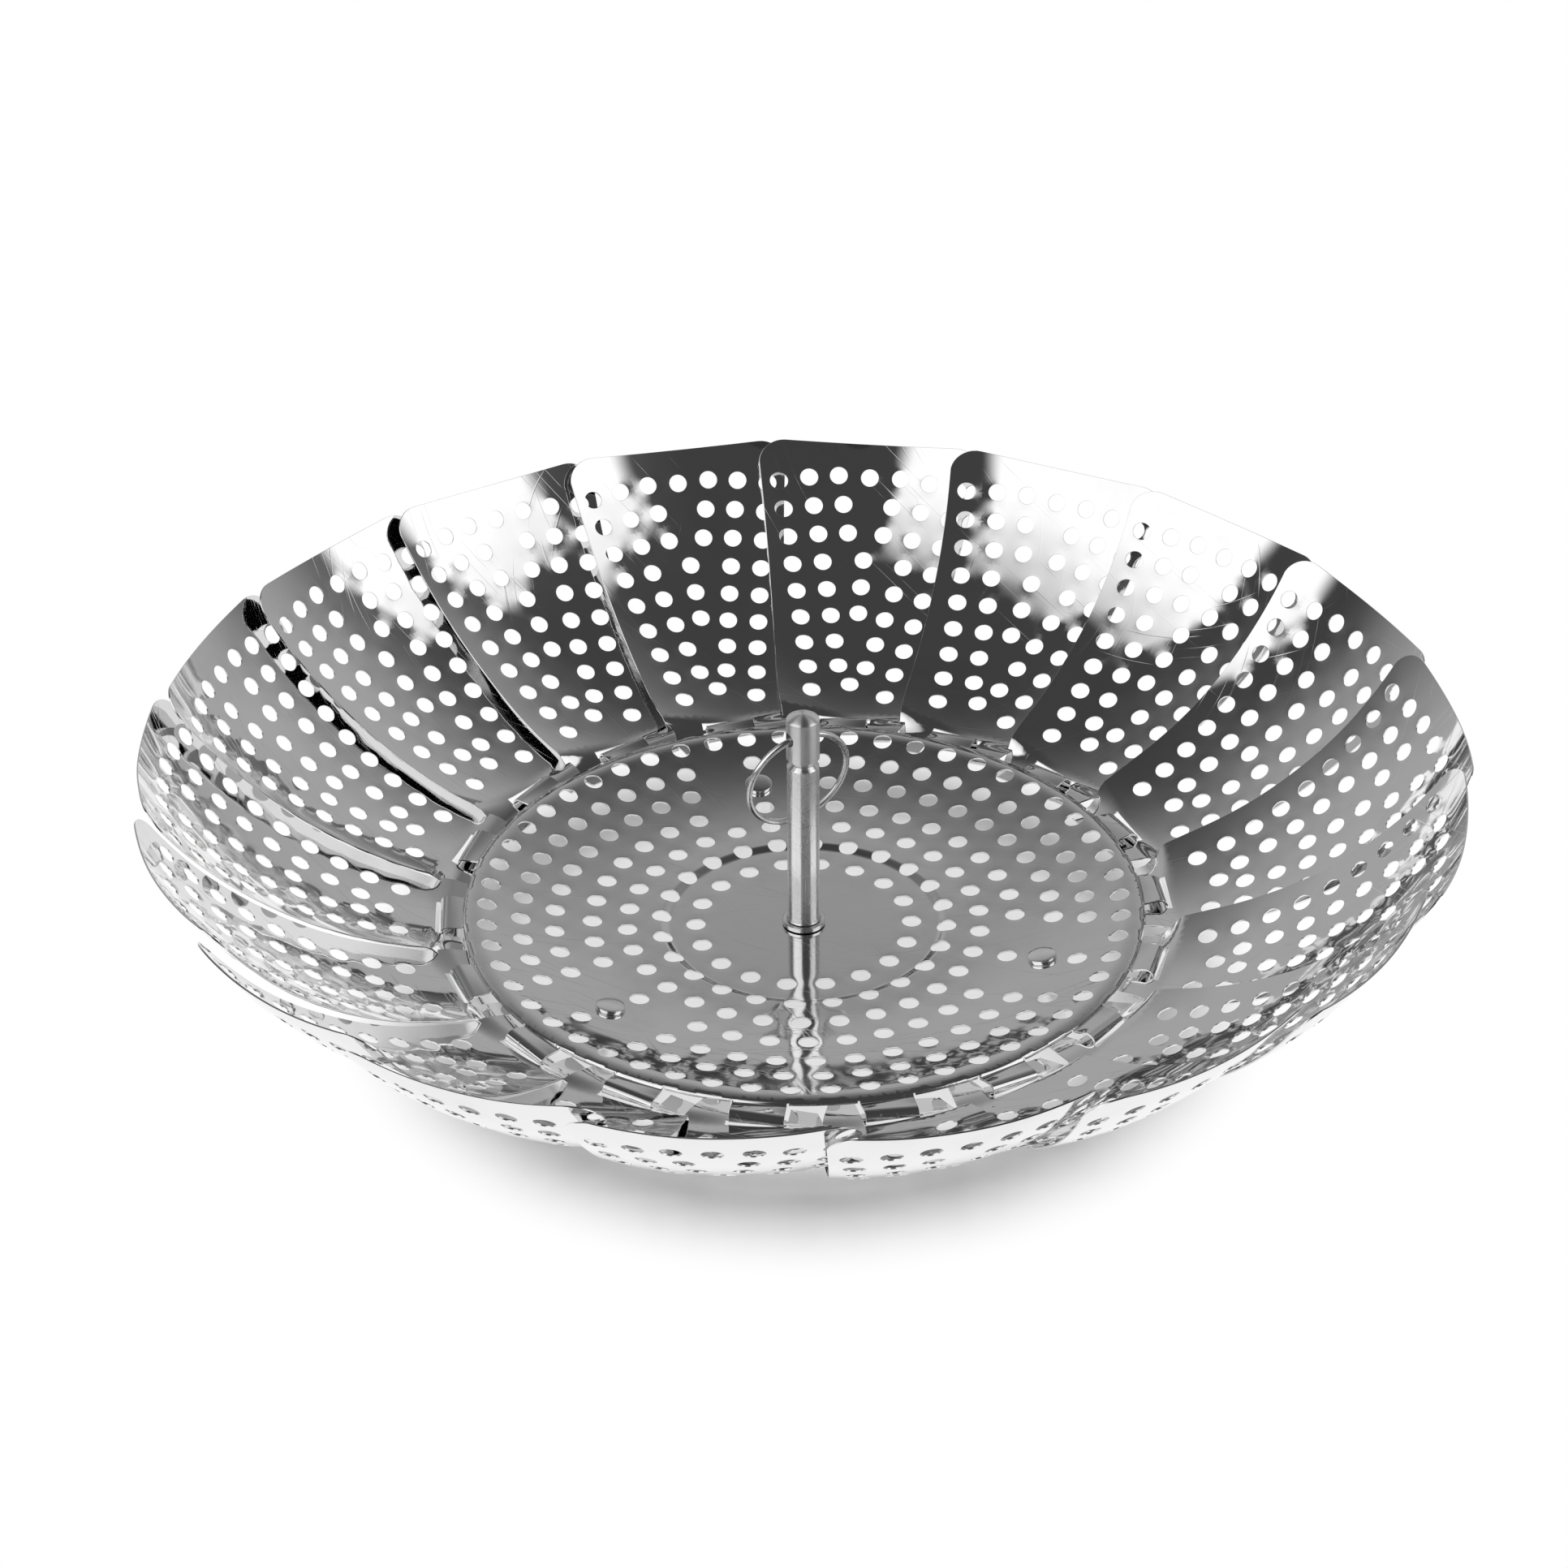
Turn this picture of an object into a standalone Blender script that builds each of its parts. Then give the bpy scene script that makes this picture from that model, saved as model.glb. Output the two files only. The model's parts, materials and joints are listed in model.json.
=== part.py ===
"""Folding steamer basket in stainless steel.

A dished, perforated plate stands on three riveted feet. Eighteen overlapping petals are hooked
on curled tongues round its rim and fold inwards. A post at the centre carries a handle that
pulls out like a telescope, with a wire ring through its cap.

Metres, +Z up. The origin is on the axis, on the surface that the feet stand on.
"""

import math

import bmesh
import bpy
from mathutils import Matrix, Vector

# Clearance and mesh fineness
GAP = 0.0003
OVERRUN = 0.002
MERGE = 0.00001
TURNED_STEPS = 16
HOLE_SIDES = 4

# Dished plate: heights are those of the sheet's middle
PLATE_THICKNESS = 0.0005
DISH_FLOOR_HEIGHT = 0.0143
DISH_FLAT_RADIUS = 0.035
DISH_ARC_RADIUS = 0.112
RIM_RADIUS = 0.07385
CREST_WIDTH = 0.00235
CENTRE_DISC_RADIUS = 0.0290
CENTRE_STEP_WIDTH = 0.0028
CENTRE_RECESS = 0.0007

# Perforation of the plate: ring n has 6 n holes at n times the pitch, as far out as the rim's land
PLATE_HOLE_RADIUS = 0.00215
PLATE_HOLE_PITCH = 0.00778
HOLES_PER_RING_NUMBER = 6
FIRST_HOLE_RING = 3
RIM_LAND = 0.0035
PLATE_HOLE_TURN = math.radians(41)

# Tongues on the rim, each curled round the axis of its petal
PETAL_COUNT = 18
FIRST_PETAL_TURN = math.radians(2.9)
TONGUE_WIDTH = 0.0112
HINGE_REACH = 0.00395
HINGE_DROP = 0.0025
CURL_INNER_RADIUS = 0.0016
CURL_END_TURN = math.radians(-170)
CURL_STEPS = 7
HINGE_SLANT = math.radians(-5)

# Petals: l runs along a petal from its hinge axis, u across it, anticlockwise from above
PETAL_THICKNESS = 0.0004
PETAL_LENGTH = 0.079
PETAL_BASE_WIDTH = 0.0306
PETAL_TOP_WIDTH = 0.056
PETAL_FOOT_WIDTH = 0.023
PETAL_FLARE_LENGTH = 0.013
PETAL_CORNER_RADIUS = 0.006
PETAL_ARC_RADIUS = 0.090
PETAL_START_SLOPE = math.radians(9.5)
PETAL_CROSS_RADIUS = 0.092
PETAL_BASE_TWIST = math.radians(4.5)
PETAL_TOP_TWIST = math.radians(3.3)
TWIST_START = -0.001
TWIST_END = 0.005
TAIL_LENGTH = 0.0035
STRIP_HALF_WIDTH = 0.0012
SLOT_WIDTH = 0.0142
SLOT_REACH = 0.003
NOTCH_WIDTH = 0.0148
PETAL_FACET_LENGTH = 0.0145
SIDE_POINTS = 8
CORNER_POINTS = 2

# Perforation of a petal: columns of holes that spread towards the top, with a land left at its edge
PETAL_HOLE_RADIUS = 0.00215
PETAL_HOLE_PITCH = 0.00715
COLUMN_EDGE_LAND = 0.00352
PETAL_TIP_LAND = 0.0070
OUTER_COLUMN_START = 0.01107
OUTER_COLUMN_ACROSS = 0.00886
INNER_COLUMN_START = 0.01987
INNER_COLUMN_ACROSS = 0.00331
CENTRE_COLUMN_START = 0.01438
CENTRE_COLUMN_STEP = 4

# Feet, riveted through holes of one ring of the plate
FOOT_COUNT = 3
FOOT_RINGS_INSIDE = 2
FIRST_FOOT_TURN = math.radians(101)
FOOT_HEAD_RADIUS = 0.00315
FOOT_HEAD_HEIGHT = 0.0010
FOOT_HEAD_BEVEL = 0.0003
FOOT_NECK_RADIUS = 0.0015
FOOT_LEG_RADIUS = 0.003
FOOT_END_RADIUS = 0.0026
FOOT_TAPER_HEIGHT = 0.002

# Post: washer, tube with a flared foot and a threaded stem, nut under the plate
STEM_RADIUS = 0.0021
STEM_STICKOUT = 0.0008
WASHER_RADIUS = 0.00473
WASHER_THICKNESS = 0.0009
WASHER_BEVEL = 0.0002
FLARE_RADIUS = 0.0038
FLARE_HEIGHT = 0.0005
TUBE_RADIUS = 0.0034
TUBE_BORE_RADIUS = 0.0025
TUBE_FLOOR_THICKNESS = 0.004
TUBE_TOP_HEIGHT = 0.0538
TUBE_CHAMFER_HEIGHT = 0.002
TUBE_LIP_THICKNESS = 0.0003
NUT_CORNER_RADIUS = 0.00404
NUT_THICKNESS = 0.0024

# Handle: a rod that slides in the tube, with a cap that the ring passes through
ROD_RADIUS = 0.00215
CAP_RADIUS = 0.0036
CAP_FOOT_RADIUS = 0.0029
CAP_FOOT_HEIGHT = 0.001
CAP_LENGTH = 0.0120
CAP_DOME_HEIGHT = 0.0013
CAP_DOME_STEPS = 4
CROSS_HOLE_RADIUS = 0.0016
CROSS_HOLE_DROP = 0.0043
CROSS_HOLE_TURN = math.radians(29)
RING_RADIUS = 0.0119
RING_WIRE_RADIUS = 0.0007
RING_SEGMENTS = 28
RING_WIRE_SIDES = 6


def clear_scene():
    for found in list(bpy.data.objects):
        bpy.data.objects.remove(found)


def new_collection(name):
    collection = bpy.data.collections.new(name)
    bpy.context.scene.collection.children.link(collection)
    return collection


def steel(name, colour, roughness):
    material = bpy.data.materials.new(name)
    material.use_nodes = True
    shader = material.node_tree.nodes["Principled BSDF"]
    shader.inputs["Base Color"].default_value = (*colour, 1)
    shader.inputs["Metallic"].default_value = 1
    shader.inputs["Roughness"].default_value = roughness
    return material


def add_part(name, data, material, parent=None):
    part = bpy.data.objects.new(name, data)
    if not data.materials:
        data.materials.append(material)
    parts.objects.link(part)
    part.parent = parent
    return part


def smooth_share(value, start, end):
    share = min(max((value - start) / (end - start), 0), 1)
    return share * share * (3 - 2 * share)


# Flat outlines

def polygon(centre, radius, sides, turn=0):
    """A regular polygon with the area of the circle that it stands for."""
    corner = radius * math.sqrt(math.tau / (sides * math.sin(math.tau / sides)))
    return [
        (centre[0] + corner * math.cos(turn + math.tau * step / sides),
         centre[1] + corner * math.sin(turn + math.tau * step / sides))
        for step in range(sides)
    ]


def filled_curve(name, loops, thickness=0):
    curve = bpy.data.curves.new(name, "CURVE")
    curve.dimensions = "2D"
    curve.fill_mode = "BOTH"
    curve.extrude = thickness / 2
    for loop in loops:
        spline = curve.splines.new("POLY")
        spline.points.add(len(loop) - 1)
        for point, (x, y) in zip(spline.points, loop):
            point.co = (x, y, 0, 1)
        spline.use_cyclic_u = True
    return curve


def inner_edges(sheet, shortest=0):
    return [edge for edge in sheet.edges
            if len(edge.link_faces) == 2 and edge.calc_length() > shortest]


def flat_sheet(name, loops):
    """One flat layer of well-shaped triangles between an outline and its holes."""
    outline = bpy.data.objects.new(name, filled_curve(name, loops))
    parts.objects.link(outline)
    graph = bpy.context.evaluated_depsgraph_get()
    mesh = bpy.data.meshes.new_from_object(outline.evaluated_get(graph))
    bpy.data.curves.remove(outline.data)
    sheet = bmesh.new()
    sheet.from_mesh(mesh)
    bpy.data.meshes.remove(mesh)
    bmesh.ops.remove_doubles(sheet, verts=sheet.verts, dist=MERGE)
    bmesh.ops.beautify_fill(sheet, faces=sheet.faces, edges=inner_edges(sheet))
    return sheet


def refine(sheet, longest):
    """Splits long facets, so that the sheet can follow a curve."""
    while inner_edges(sheet, longest):
        bmesh.ops.subdivide_edges(sheet, edges=inner_edges(sheet, longest), cuts=1)
        bmesh.ops.triangulate(sheet, faces=sheet.faces)
        bmesh.ops.beautify_fill(sheet, faces=sheet.faces, edges=inner_edges(sheet))


def finished_sheet(name, sheet):
    mesh = bpy.data.meshes.new(name)
    sheet.to_mesh(mesh)
    sheet.free()
    mesh.shade_smooth()
    return mesh


def thicken(part, thickness):
    solidify = part.modifiers.new("Sheet", "SOLIDIFY")
    solidify.thickness = thickness
    solidify.offset = 0
    solidify.use_even_offset = True


# Turned shapes

def turned(name, profile, closed=False):
    """A profile of (radius, height) points, outer side running down, spun about Z."""
    form = bmesh.new()
    verts = [form.verts.new((radius, 0, height)) for radius, height in profile]
    for upper, lower in zip(verts, verts[1:]):
        form.edges.new((upper, lower))
    if closed:
        form.edges.new((verts[-1], verts[0]))
    mesh = bpy.data.meshes.new(name)
    form.to_mesh(mesh)
    form.free()
    return mesh


def spin(part):
    screw = part.modifiers.new("Turn", "SCREW")
    screw.steps = TURNED_STEPS
    screw.render_steps = TURNED_STEPS
    screw.use_merge_vertices = True
    screw.merge_threshold = MERGE
    screw.use_smooth_shade = True


def cut(part, cutter):
    boolean = part.modifiers.new("Cut", "BOOLEAN")
    boolean.operation = "DIFFERENCE"
    boolean.object = cutter


def add_cutter(name, mesh, matrix):
    cutter = bpy.data.objects.new(name, mesh)
    cutters.objects.link(cutter)
    cutter.matrix_world = matrix
    cutter.hide_render = True
    cutter.display_type = "WIRE"
    return cutter


# The dished plate

def dish_height(radius):
    """Height of the middle of the sheet at a distance from the axis."""
    step_end = CENTRE_DISC_RADIUS + CENTRE_STEP_WIDTH
    recess = CENTRE_RECESS * (1 - smooth_share(radius, CENTRE_DISC_RADIUS, step_end))
    run = max(min(radius, RIM_RADIUS - CREST_WIDTH) - DISH_FLAT_RADIUS, 0)
    rise = DISH_ARC_RADIUS - math.sqrt(DISH_ARC_RADIUS ** 2 - run ** 2)
    return DISH_FLOOR_HEIGHT - recess + rise


def dish_slope(radius):
    run = radius - DISH_FLAT_RADIUS
    return math.asin(run / DISH_ARC_RADIUS)


def petal_turn(index):
    return FIRST_PETAL_TURN + math.tau * index / PETAL_COUNT


def tongue_path():
    """(radius, height) stations of a tongue: straight off the rim, then round the hinge axis."""
    curl = CURL_INNER_RADIUS + PLATE_THICKNESS / 2
    root = Vector((rim_reach - hinge_radius, HINGE_DROP))
    touch = math.atan2(root.y, root.x) - math.acos(curl / root.length)
    turns = [touch + (CURL_END_TURN - touch) * step / CURL_STEPS for step in range(CURL_STEPS + 1)]
    return [
        (hinge_radius + curl * math.cos(turn), hinge_height + curl * math.sin(turn))
        for turn in turns
    ]


def plate_outline():
    """Rim with a straight edge at the root of each tongue."""
    half_root = math.asin(TONGUE_WIDTH / 2 / RIM_RADIUS)
    free_turn = math.tau / PETAL_COUNT - 2 * half_root
    points = []
    for index in range(PETAL_COUNT):
        for turn in (-half_root, half_root, half_root + free_turn / 2):
            angle = petal_turn(index) + turn
            points.append((RIM_RADIUS * math.cos(angle), RIM_RADIUS * math.sin(angle)))
    return points


def beside_foot(ring, index, count):
    """The sheet is left whole at both sides of a foot, on its own ring and the two next to it."""
    if abs(ring - foot_ring) > 1:
        return False
    foot_index = round((FIRST_FOOT_TURN - PLATE_HOLE_TURN) / math.tau * count)
    apart = (index - foot_index) % (count // FOOT_COUNT)
    return apart in (1, count // FOOT_COUNT - 1)


def plate_holes():
    loops = [polygon((0, 0), STEM_RADIUS + GAP, TURNED_STEPS)]
    for ring in range(FIRST_HOLE_RING, last_hole_ring + 1):
        count = HOLES_PER_RING_NUMBER * ring
        for index in range(count):
            if beside_foot(ring, index, count):
                continue
            turn = PLATE_HOLE_TURN + math.tau * index / count
            centre = Matrix.Rotation(turn, 2) @ Vector((ring * PLATE_HOLE_PITCH, 0))
            loops.append(polygon(centre, PLATE_HOLE_RADIUS, HOLE_SIDES, turn))
    return loops


def curl_tongue(sheet, index):
    """Draws the rim's edge out into a tongue, station by station."""
    frame = Matrix.Rotation(petal_turn(index), 4, "Z")
    height = dish_height(RIM_RADIUS)
    corners = [frame @ Vector((rim_reach, side * TONGUE_WIDTH / 2, height)) for side in (-1, 1)]
    ends = [min(sheet.verts, key=lambda vert: (vert.co - corner).length) for corner in corners]
    for radius, height in tongue_path():
        edge = sheet.edges.get(ends)
        drawn = bmesh.ops.extrude_edge_only(sheet, edges=[edge])["geom"]
        new_verts = [item for item in drawn if isinstance(item, bmesh.types.BMVert)]
        new_verts.sort(key=lambda vert: (vert.co - ends[0].co).length)
        ends = new_verts
        for side, vert in zip((-1, 1), ends):
            across = side * TONGUE_WIDTH / 2
            vert.co = frame @ Vector((radius, across, height + across * math.tan(HINGE_SLANT)))


def build_plate():
    sheet = flat_sheet("plate_outline", [plate_outline()] + plate_holes())
    for vert in sheet.verts:
        vert.co.z = dish_height(vert.co.xy.length)
    for index in range(PETAL_COUNT):
        curl_tongue(sheet, index)
    mesh = finished_sheet("base_plate", sheet)
    plate = add_part("base_plate", mesh, steel("plate_steel", (0.62, 0.62, 0.62), 0.12))
    thicken(plate, PLATE_THICKNESS)
    return plate


# The petals

def petal_half_width(along):
    half = PETAL_BASE_WIDTH / 2
    half += (PETAL_TOP_WIDTH - PETAL_BASE_WIDTH) / 2 * along / PETAL_LENGTH
    drawn_in = max((PETAL_FLARE_LENGTH - along) / (PETAL_FLARE_LENGTH + TAIL_LENGTH), 0)
    return half - (PETAL_BASE_WIDTH - PETAL_FOOT_WIDTH) / 2 * drawn_in ** 2


def petal_point(along, across):
    """A place on the petal's middle surface, seen from its hinge axis: outwards, across, up."""
    twist = PETAL_BASE_TWIST + (PETAL_TOP_TWIST - PETAL_BASE_TWIST) * max(along, 0) / PETAL_LENGTH
    blade = across ** 2 / (2 * PETAL_CROSS_RADIUS) + math.tan(twist) * across
    share = smooth_share(along, TWIST_START, TWIST_END)
    rise = share * blade + (1 - share) * math.tan(HINGE_SLANT) * across
    slope = PETAL_START_SLOPE + along / PETAL_ARC_RADIUS
    radius = PETAL_ARC_RADIUS - rise
    outwards = radius * math.sin(slope) - PETAL_ARC_RADIUS * math.sin(PETAL_START_SLOPE)
    up = PETAL_ARC_RADIUS * math.cos(PETAL_START_SLOPE) - radius * math.cos(slope)
    return Vector((outwards, across, up))


def petal_side():
    """One side of the outline, from the middle of the foot to the middle of the top edge."""
    points = [(-STRIP_HALF_WIDTH, NOTCH_WIDTH / 2), (-TAIL_LENGTH, NOTCH_WIDTH / 2)]
    straight_end = PETAL_LENGTH - PETAL_CORNER_RADIUS
    for step in range(SIDE_POINTS):
        share = step / (SIDE_POINTS - 1)
        along = -TAIL_LENGTH + (straight_end + TAIL_LENGTH) * share
        points.append((along, petal_half_width(along)))
    centre_across = petal_half_width(straight_end) - PETAL_CORNER_RADIUS
    for step in range(1, CORNER_POINTS + 1):
        turn = math.pi / 2 * step / CORNER_POINTS
        points.append((
            straight_end + PETAL_CORNER_RADIUS * math.sin(turn),
            centre_across + PETAL_CORNER_RADIUS * math.cos(turn),
        ))
    points.append((PETAL_LENGTH, centre_across / 3))
    return points


def column_holes(start, start_across, step):
    """Diamond openings of one column, as far up the petal as they fit, on both of its sides."""
    loops = []
    for index in range(int((PETAL_LENGTH - PETAL_TIP_LAND - start) / step) + 1):
        along = start + index * step
        across = start_across + column_spread * (along - start)
        for side in (-1, 1):
            loops.append(polygon((along, side * across), PETAL_HOLE_RADIUS, HOLE_SIDES))
    return loops


def petal_holes():
    slot = [
        (STRIP_HALF_WIDTH, -SLOT_WIDTH / 2), (SLOT_REACH, -SLOT_WIDTH / 2),
        (SLOT_REACH, SLOT_WIDTH / 2), (STRIP_HALF_WIDTH, SLOT_WIDTH / 2),
    ]
    loops = [slot]
    loops += column_holes(OUTER_COLUMN_START, OUTER_COLUMN_ACROSS, PETAL_HOLE_PITCH)
    loops += column_holes(INNER_COLUMN_START, INNER_COLUMN_ACROSS, PETAL_HOLE_PITCH)
    step = CENTRE_COLUMN_STEP * PETAL_HOLE_PITCH
    for index in range(int((PETAL_LENGTH - PETAL_TIP_LAND - CENTRE_COLUMN_START) / step) + 1):
        loops.append(polygon((CENTRE_COLUMN_START + index * step, 0), PETAL_HOLE_RADIUS, HOLE_SIDES))
    return loops


def build_petals(plate):
    side = petal_side()
    outline = side + [(along, -across) for along, across in reversed(side)]
    sheet = flat_sheet("petal_outline", [outline] + petal_holes())
    refine(sheet, PETAL_FACET_LENGTH)
    for vert in sheet.verts:
        vert.co = petal_point(vert.co.x, vert.co.y)
    mesh = finished_sheet("petal", sheet)
    material = steel("petal_steel", (0.6, 0.6, 0.6), 0.08)
    for index in range(PETAL_COUNT):
        petal = add_part(f"petal_{index + 1:02d}", mesh, material, plate)
        turn = petal_turn(index)
        petal.location = (hinge_radius * math.cos(turn), hinge_radius * math.sin(turn), hinge_height)
        petal.rotation_euler.z = turn
        thicken(petal, PETAL_THICKNESS)


# The feet

def foot_profile(length):
    """Rivet head above the sheet, neck through its hole, leg below it down to its end."""
    seat = PLATE_THICKNESS / 2 + GAP
    head_top = seat + FOOT_HEAD_HEIGHT
    return [
        (0, head_top),
        (FOOT_HEAD_RADIUS - FOOT_HEAD_BEVEL, head_top),
        (FOOT_HEAD_RADIUS, head_top - FOOT_HEAD_BEVEL),
        (FOOT_HEAD_RADIUS, seat),
        (FOOT_NECK_RADIUS, seat),
        (FOOT_NECK_RADIUS, -seat),
        (FOOT_LEG_RADIUS, -seat),
        (FOOT_LEG_RADIUS, FOOT_TAPER_HEIGHT - length),
        (FOOT_END_RADIUS, -length - OVERRUN),
        (0, -length - OVERRUN),
    ]


def build_feet(plate):
    reach = foot_ring * PLATE_HOLE_PITCH
    slope = dish_slope(reach)
    height = dish_height(reach)
    mesh = turned("foot", foot_profile(height / math.cos(slope)))
    material = steel("foot_steel", (0.7, 0.7, 0.7), 0.2)
    ground = bpy.data.meshes.new("ground")
    block = bmesh.new()
    size = 2 * (reach + height)
    bmesh.ops.create_cube(block, size=size)
    block.to_mesh(ground)
    block.free()
    floor = add_cutter("ground_cutter", ground, Matrix.Translation((0, 0, -size / 2)))
    for index in range(FOOT_COUNT):
        turn = FIRST_FOOT_TURN + math.tau * index / FOOT_COUNT
        foot = add_part(f"foot_{index + 1}", mesh, material, plate)
        foot.location = (reach * math.cos(turn), reach * math.sin(turn), height)
        foot.rotation_euler = (0, -slope, turn)
        spin(foot)
        cut(foot, floor)


# The post

def build_post(plate):
    material = steel("post_steel", (0.75, 0.75, 0.75), 0.22)
    plate_top = dish_height(0) + PLATE_THICKNESS / 2
    plate_under = dish_height(0) - PLATE_THICKNESS / 2
    stem_bore = STEM_RADIUS + GAP

    washer_foot = plate_top + GAP
    washer_top = washer_foot + WASHER_THICKNESS
    washer = add_part("post_washer", turned("post_washer", [
        (stem_bore, washer_top), (WASHER_RADIUS - WASHER_BEVEL, washer_top),
        (WASHER_RADIUS, washer_top - WASHER_BEVEL), (WASHER_RADIUS, washer_foot),
        (stem_bore, washer_foot),
    ], closed=True), material, plate)
    spin(washer)

    nut_top = plate_under - GAP
    nut_foot = nut_top - NUT_THICKNESS
    nut_loops = [
        [(NUT_CORNER_RADIUS * math.cos(turn), NUT_CORNER_RADIUS * math.sin(turn))
         for turn in (math.tau * step / 6 for step in range(6))],
        polygon((0, 0), stem_bore, TURNED_STEPS),
    ]
    nut = add_part("post_nut", filled_curve("post_nut", nut_loops, NUT_THICKNESS), material, plate)
    nut.location.z = (nut_top + nut_foot) / 2

    tube_foot = washer_top + GAP
    bore_floor = tube_foot + TUBE_FLOOR_THICKNESS
    tube = add_part("post_tube", turned("post_tube", [
        (0, bore_floor),
        (TUBE_BORE_RADIUS, bore_floor),
        (TUBE_BORE_RADIUS, TUBE_TOP_HEIGHT),
        (TUBE_BORE_RADIUS + TUBE_LIP_THICKNESS, TUBE_TOP_HEIGHT),
        (TUBE_RADIUS, TUBE_TOP_HEIGHT - TUBE_CHAMFER_HEIGHT),
        (TUBE_RADIUS, tube_foot + FLARE_HEIGHT),
        (FLARE_RADIUS, tube_foot),
        (STEM_RADIUS, tube_foot),
        (STEM_RADIUS, nut_foot - STEM_STICKOUT),
        (0, nut_foot - STEM_STICKOUT),
    ]), material, plate)
    spin(tube)
    return tube, bore_floor


# The handle and its ring

def build_handle(tube, bore_floor):
    cap_foot = TUBE_TOP_HEIGHT + GAP
    cap_shoulder = cap_foot + CAP_LENGTH
    dome = [
        (CAP_RADIUS * math.sin(math.pi / 2 * step / CAP_DOME_STEPS),
         cap_shoulder + CAP_DOME_HEIGHT * math.cos(math.pi / 2 * step / CAP_DOME_STEPS))
        for step in range(CAP_DOME_STEPS + 1)
    ]
    rod = add_part("handle_rod", turned("handle_rod", dome + [
        (CAP_RADIUS, cap_foot + CAP_FOOT_HEIGHT),
        (CAP_FOOT_RADIUS, cap_foot),
        (ROD_RADIUS, cap_foot),
        (ROD_RADIUS, bore_floor + GAP),
        (0, bore_floor + GAP),
    ]), steel("handle_steel", (0.75, 0.75, 0.75), 0.18), tube)
    spin(rod)

    hole_height = cap_shoulder - CROSS_HOLE_DROP
    turn = Matrix.Rotation(CROSS_HOLE_TURN, 4, "Z")
    bore = bpy.data.meshes.new("cross_hole")
    drill = bmesh.new()
    bmesh.ops.create_cone(
        drill, cap_ends=True, segments=TURNED_STEPS, radius1=CROSS_HOLE_RADIUS,
        radius2=CROSS_HOLE_RADIUS, depth=2 * (CAP_RADIUS + OVERRUN))
    drill.to_mesh(bore)
    drill.free()
    place = Matrix.Translation((0, 0, hole_height)) @ turn @ Matrix.Rotation(math.pi / 2, 4, "Y")
    cut(rod, add_cutter("cross_hole_cutter", bore, place))

    lean = math.asin((TUBE_RADIUS + RING_WIRE_RADIUS + GAP) / (2 * RING_RADIUS))
    bpy.ops.mesh.primitive_torus_add(
        major_radius=RING_RADIUS, minor_radius=RING_WIRE_RADIUS,
        major_segments=RING_SEGMENTS, minor_segments=RING_WIRE_SIDES)
    ring = bpy.context.object
    ring.name = "pull_ring"
    ring.data.name = "pull_ring"
    hang = Matrix.Translation((0, 0, -RING_RADIUS)) @ Matrix.Rotation(math.pi / 2, 4, "X")
    ring.data.transform(hang)
    ring.data.shade_smooth()
    ring.data.materials.append(steel("ring_steel", (0.8, 0.8, 0.8), 0.12))
    for holder in list(ring.users_collection):
        holder.objects.unlink(ring)
    parts.objects.link(ring)
    ring.parent = rod
    ring.location.z = hole_height
    ring.rotation_euler = (turn @ Matrix.Rotation(lean, 4, "X")).to_euler()


clear_scene()
parts = new_collection("steamer_basket")
cutters = new_collection("cutters")
last_hole_ring = int((RIM_RADIUS - RIM_LAND) / PLATE_HOLE_PITCH)
foot_ring = last_hole_ring - FOOT_RINGS_INSIDE
rim_reach = math.sqrt(RIM_RADIUS ** 2 - (TONGUE_WIDTH / 2) ** 2)
hinge_radius = RIM_RADIUS + HINGE_REACH
top_across = PETAL_TOP_WIDTH / 2 - COLUMN_EDGE_LAND
column_spread = (top_across - OUTER_COLUMN_ACROSS) / (PETAL_LENGTH - OUTER_COLUMN_START)
hinge_height = dish_height(RIM_RADIUS) - HINGE_DROP

base_plate = build_plate()
build_petals(base_plate)
build_feet(base_plate)
post_tube, tube_floor = build_post(base_plate)
build_handle(post_tube, tube_floor)
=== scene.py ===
# Folding steamer basket: a perforated plate on three feet, eighteen hinged petals and a telescopic post
import json
import math

import bmesh
import bpy
import numpy as np
from mathutils import Matrix, Vector


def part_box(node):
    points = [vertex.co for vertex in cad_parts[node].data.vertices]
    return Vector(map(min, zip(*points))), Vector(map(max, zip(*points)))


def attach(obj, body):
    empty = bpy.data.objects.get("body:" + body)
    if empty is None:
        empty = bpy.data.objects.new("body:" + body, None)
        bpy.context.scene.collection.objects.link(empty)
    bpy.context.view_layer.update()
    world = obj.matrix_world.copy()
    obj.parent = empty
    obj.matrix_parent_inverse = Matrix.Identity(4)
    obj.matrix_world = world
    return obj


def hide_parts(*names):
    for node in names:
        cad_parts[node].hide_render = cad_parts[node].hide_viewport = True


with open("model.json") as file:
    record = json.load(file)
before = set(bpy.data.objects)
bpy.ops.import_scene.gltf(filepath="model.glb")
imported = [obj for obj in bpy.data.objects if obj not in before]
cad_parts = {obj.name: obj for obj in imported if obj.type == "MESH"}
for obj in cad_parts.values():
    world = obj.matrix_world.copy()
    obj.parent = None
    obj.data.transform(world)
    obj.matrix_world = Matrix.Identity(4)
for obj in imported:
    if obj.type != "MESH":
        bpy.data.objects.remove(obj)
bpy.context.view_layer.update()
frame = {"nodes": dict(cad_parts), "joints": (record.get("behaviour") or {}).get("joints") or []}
joints = {joint["name"]: joint for joint in frame["joints"]}
print("frame loaded with", len(frame["nodes"]), "nodes")


def addObject(name, data):
    item = bpy.data.objects.new(name, data)
    bpy.context.scene.collection.objects.link(item)
    return item


def meshFrom(form, name):
    mesh = bpy.data.meshes.new(name)
    form.to_mesh(mesh)
    form.free()
    return mesh


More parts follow.
